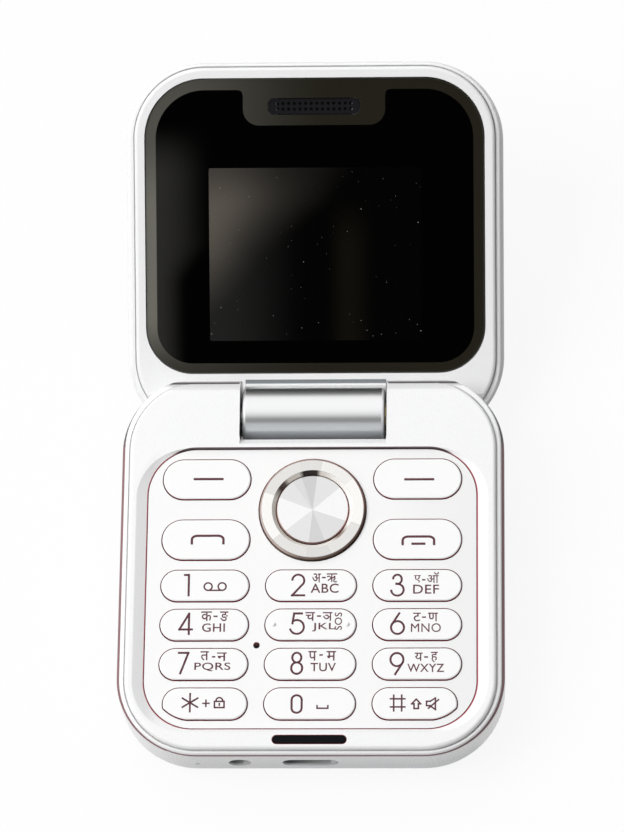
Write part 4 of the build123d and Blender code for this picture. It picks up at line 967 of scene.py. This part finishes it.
def legend_meshes():
    """The meshes on each key, round the key's own point."""
    meshes = {name: [] for name in keys}
    for name, sign, *place in STROKED:
        meshes[name].append(sign_mesh(sign, *place))
    for name, text, *place in LETTERS:
        meshes[name].append(text_mesh(text, *place))
    meshes["key_5"].append(text_mesh(SIDE_TEXT, *SIDE_TEXT_PLACE, spin=pi / 2))
    for name, left, right, y in DASHES:
        ends = [(left + SIGN_STROKE / 2, y), (right - SIGN_STROKE / 2, y)]
        meshes[name].append(stroked([ends], SIGN_STROKE))
    return meshes


legend_ink = moulded("legend_ink", "base", LEGEND_COLOUR, LEGEND_ROUGH)
for name, meshes in legend_meshes().items():
    piece = joined(meshes, f"{name}_legend")
    x, y = key_middle(name)
    y += KEY_DATUMS.get(name, DIGIT_KEY_DATUM)
    piece.data.transform(placing("base") @ Matrix.Translation((x, y, LEGEND_HEIGHT)))
    piece.data.materials.clear()
    piece.data.materials.append(legend_ink)
    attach(piece, name)


# Studio, in metres

FLOOR_SIZE = 6.0
FLOOR_HEIGHT = -0.0002
FLOOR_WHITE = 1.1
FLOOR_GLOW_SHARE = 0.82
PAPER_COLOUR = (0.45, 0.45, 0.45, 1.0)


def floor_material():
    """Paper that shadows fall on, shown as white as the photograph's background."""
    tree = Tree("floor_paper")
    paper = tree.add("ShaderNodeBsdfDiffuse", Color=PAPER_COLOUR)
    bright = tree.add("ShaderNodeEmission", Strength=FLOOR_WHITE)
    path = tree.add("ShaderNodeLightPath").outputs
    seen = tree.math("MAXIMUM", path["Is Camera Ray"], path["Is Glossy Ray"])
    seen = tree.math("MAXIMUM", seen, path["Is Transmission Ray"])
    blend = tree.add("ShaderNodeMixShader")
    tree.feed(blend.inputs[0], tree.math("MULTIPLY", seen, FLOOR_GLOW_SHARE))
    tree.feed(blend.inputs[1], paper.outputs[0])
    tree.feed(blend.inputs[2], bright.outputs[0])
    tree.feed(tree.output.inputs["Surface"], blend.outputs[0])
    return tree.material


def studio_floor():
    """The paper that the phone lies on, which is no part of it."""
    mesh = bpy.data.meshes.new("studio_floor")
    half = FLOOR_SIZE / 2
    corners = [(-half, -half, FLOOR_HEIGHT), (half, -half, FLOOR_HEIGHT),
               (half, half, FLOOR_HEIGHT), (-half, half, FLOOR_HEIGHT)]
    mesh.from_pydata(corners, [], [(0, 1, 2, 3)])
    mesh.materials.append(floor_material())
    floor = bpy.data.objects.new("studio_floor", mesh)
    bpy.context.scene.collection.objects.link(floor)


studio_floor()

# The screen lens mirrors what is this far from straight up, towards the front, and there the
# room has a dark disc, soft between two angles from its middle
MIRRORED_ANGLE = radians(32.0)
DISC_OUTER = radians(15.0)
DISC_INNER = radians(7.0)
DISC_LEVEL = 0.005

# What glossy surfaces mirror, and what else lights the phone, over the room's directions
FRONT_RANGE = (-0.4, 0.1)
FRONT_LEVEL = 0.6
LOW_RANGE = (-0.1, 0.5)
LOW_LEVEL = 0.1
AMBIENT_HEIGHTS = (-0.1, 1.0)
AMBIENT_LEVELS = (0.14, 0.6)
AMBIENT_SIDES = (-0.8, 0.8)
AMBIENT_LEAN = (0.12, -0.12)


def studio_world():
    """A pale room, white where it is looked at, with a dark disc that the lens mirrors."""
    world = bpy.data.worlds.new("studio")
    world.use_nodes = True
    tree = Tree.of(world.node_tree)
    path = tree.add("ShaderNodeLightPath").outputs
    direction = tree.add("ShaderNodeTexCoord").outputs["Generated"]
    split = tree.add("ShaderNodeSeparateXYZ")
    tree.feed(split.inputs[0], direction)
    x, y, z = split.outputs
    toward_mirror = tree.add("ShaderNodeVectorMath", operation="DOT_PRODUCT")
    tree.feed(toward_mirror.inputs[0], direction)
    toward_mirror.inputs[1].default_value = (0, -sin(MIRRORED_ANGLE), cos(MIRRORED_ANGLE))
    disc = tree.ramp(toward_mirror.outputs["Value"], cos(DISC_OUTER), cos(DISC_INNER), 1.0, DISC_LEVEL)
    mirrored = tree.times(disc, tree.ramp(y, *FRONT_RANGE, FRONT_LEVEL, 1.0),
                          tree.ramp(z, *LOW_RANGE, LOW_LEVEL, 1.0))
    ambient = tree.math("ADD", tree.ramp(z, *AMBIENT_HEIGHTS, *AMBIENT_LEVELS),
                        tree.ramp(x, *AMBIENT_SIDES, *AMBIENT_LEAN))
    seen = tree.math("MAXIMUM", path["Is Camera Ray"], path["Is Transmission Ray"])
    other = tree.math("SUBTRACT", 1.0, tree.math("MAXIMUM", seen, path["Is Glossy Ray"]))
    level = tree.math("ADD", seen, tree.times(path["Is Glossy Ray"], mirrored))
    level = tree.math("ADD", level, tree.times(other, ambient))
    background = tree.add("ShaderNodeBackground", Color=(1, 1, 1, 1), Strength=level)
    tree.feed(tree.add("ShaderNodeOutputWorld").inputs["Surface"], background.outputs[0])
    bpy.context.scene.world = world


studio_world()


def softbox(name, place, size, power):
    """A soft rectangular lamp that faces the phone."""
    lamp = bpy.data.lights.new(name, "AREA")
    lamp.shape = "RECTANGLE"
    lamp.size, lamp.size_y = size
    lamp.energy = power
    stand = bpy.data.objects.new(name, lamp)
    stand.location = place
    stand.rotation_euler = (-Vector(place)).to_track_quat("-Z", "Y").to_euler()
    stand.visible_glossy = False
    bpy.context.scene.collection.objects.link(stand)


softbox("softbox_over", (-0.95, -0.15, 1.25), (0.9, 0.9), 15.8)
softbox("softbox_rear", (-0.3, 0.9, 1.2), (1.2, 0.8), 5.0)


# Camera at the photograph's angle: radians and millimetres in the base frame, and the focal
# length in pixels of the photograph

CAMERA_PITCH = -0.3471
CAMERA_YAW = -0.04605
CAMERA_ROLL = 0.00436
CAMERA_DISTANCE = 747.393
CAMERA_SHIFT = (0.4287, -0.3921)
FOCAL_PIXELS = 4470.7
IMAGE_HEIGHT = 832
SENSOR = 36.0
CLIP_START = 0.01

eye_turn = (Matrix.Rotation(CAMERA_ROLL, 3, "Z") @ Matrix.Rotation(CAMERA_YAW, 3, "Y")
            @ Matrix.Rotation(CAMERA_PITCH, 3, "X"))
eye = eye_turn.transposed() @ Vector((-CAMERA_SHIFT[0], -CAMERA_SHIFT[1], CAMERA_DISTANCE))
camera_data = bpy.data.cameras.new("photo_camera")
camera_data.sensor_width = SENSOR
camera_data.lens = SENSOR * FOCAL_PIXELS / IMAGE_HEIGHT
camera_data.clip_start = CLIP_START
camera = bpy.data.objects.new("photo_camera", camera_data)
bpy.context.scene.collection.objects.link(camera)
camera_turn = Matrix.Rotation(rest_tilt, 3, "X") @ eye_turn.transposed()
camera.matrix_world = Matrix.Translation(placing("base") @ eye) @ camera_turn.to_4x4()
bpy.context.scene.camera = camera
bpy.context.scene.view_settings.view_transform = "Standard"
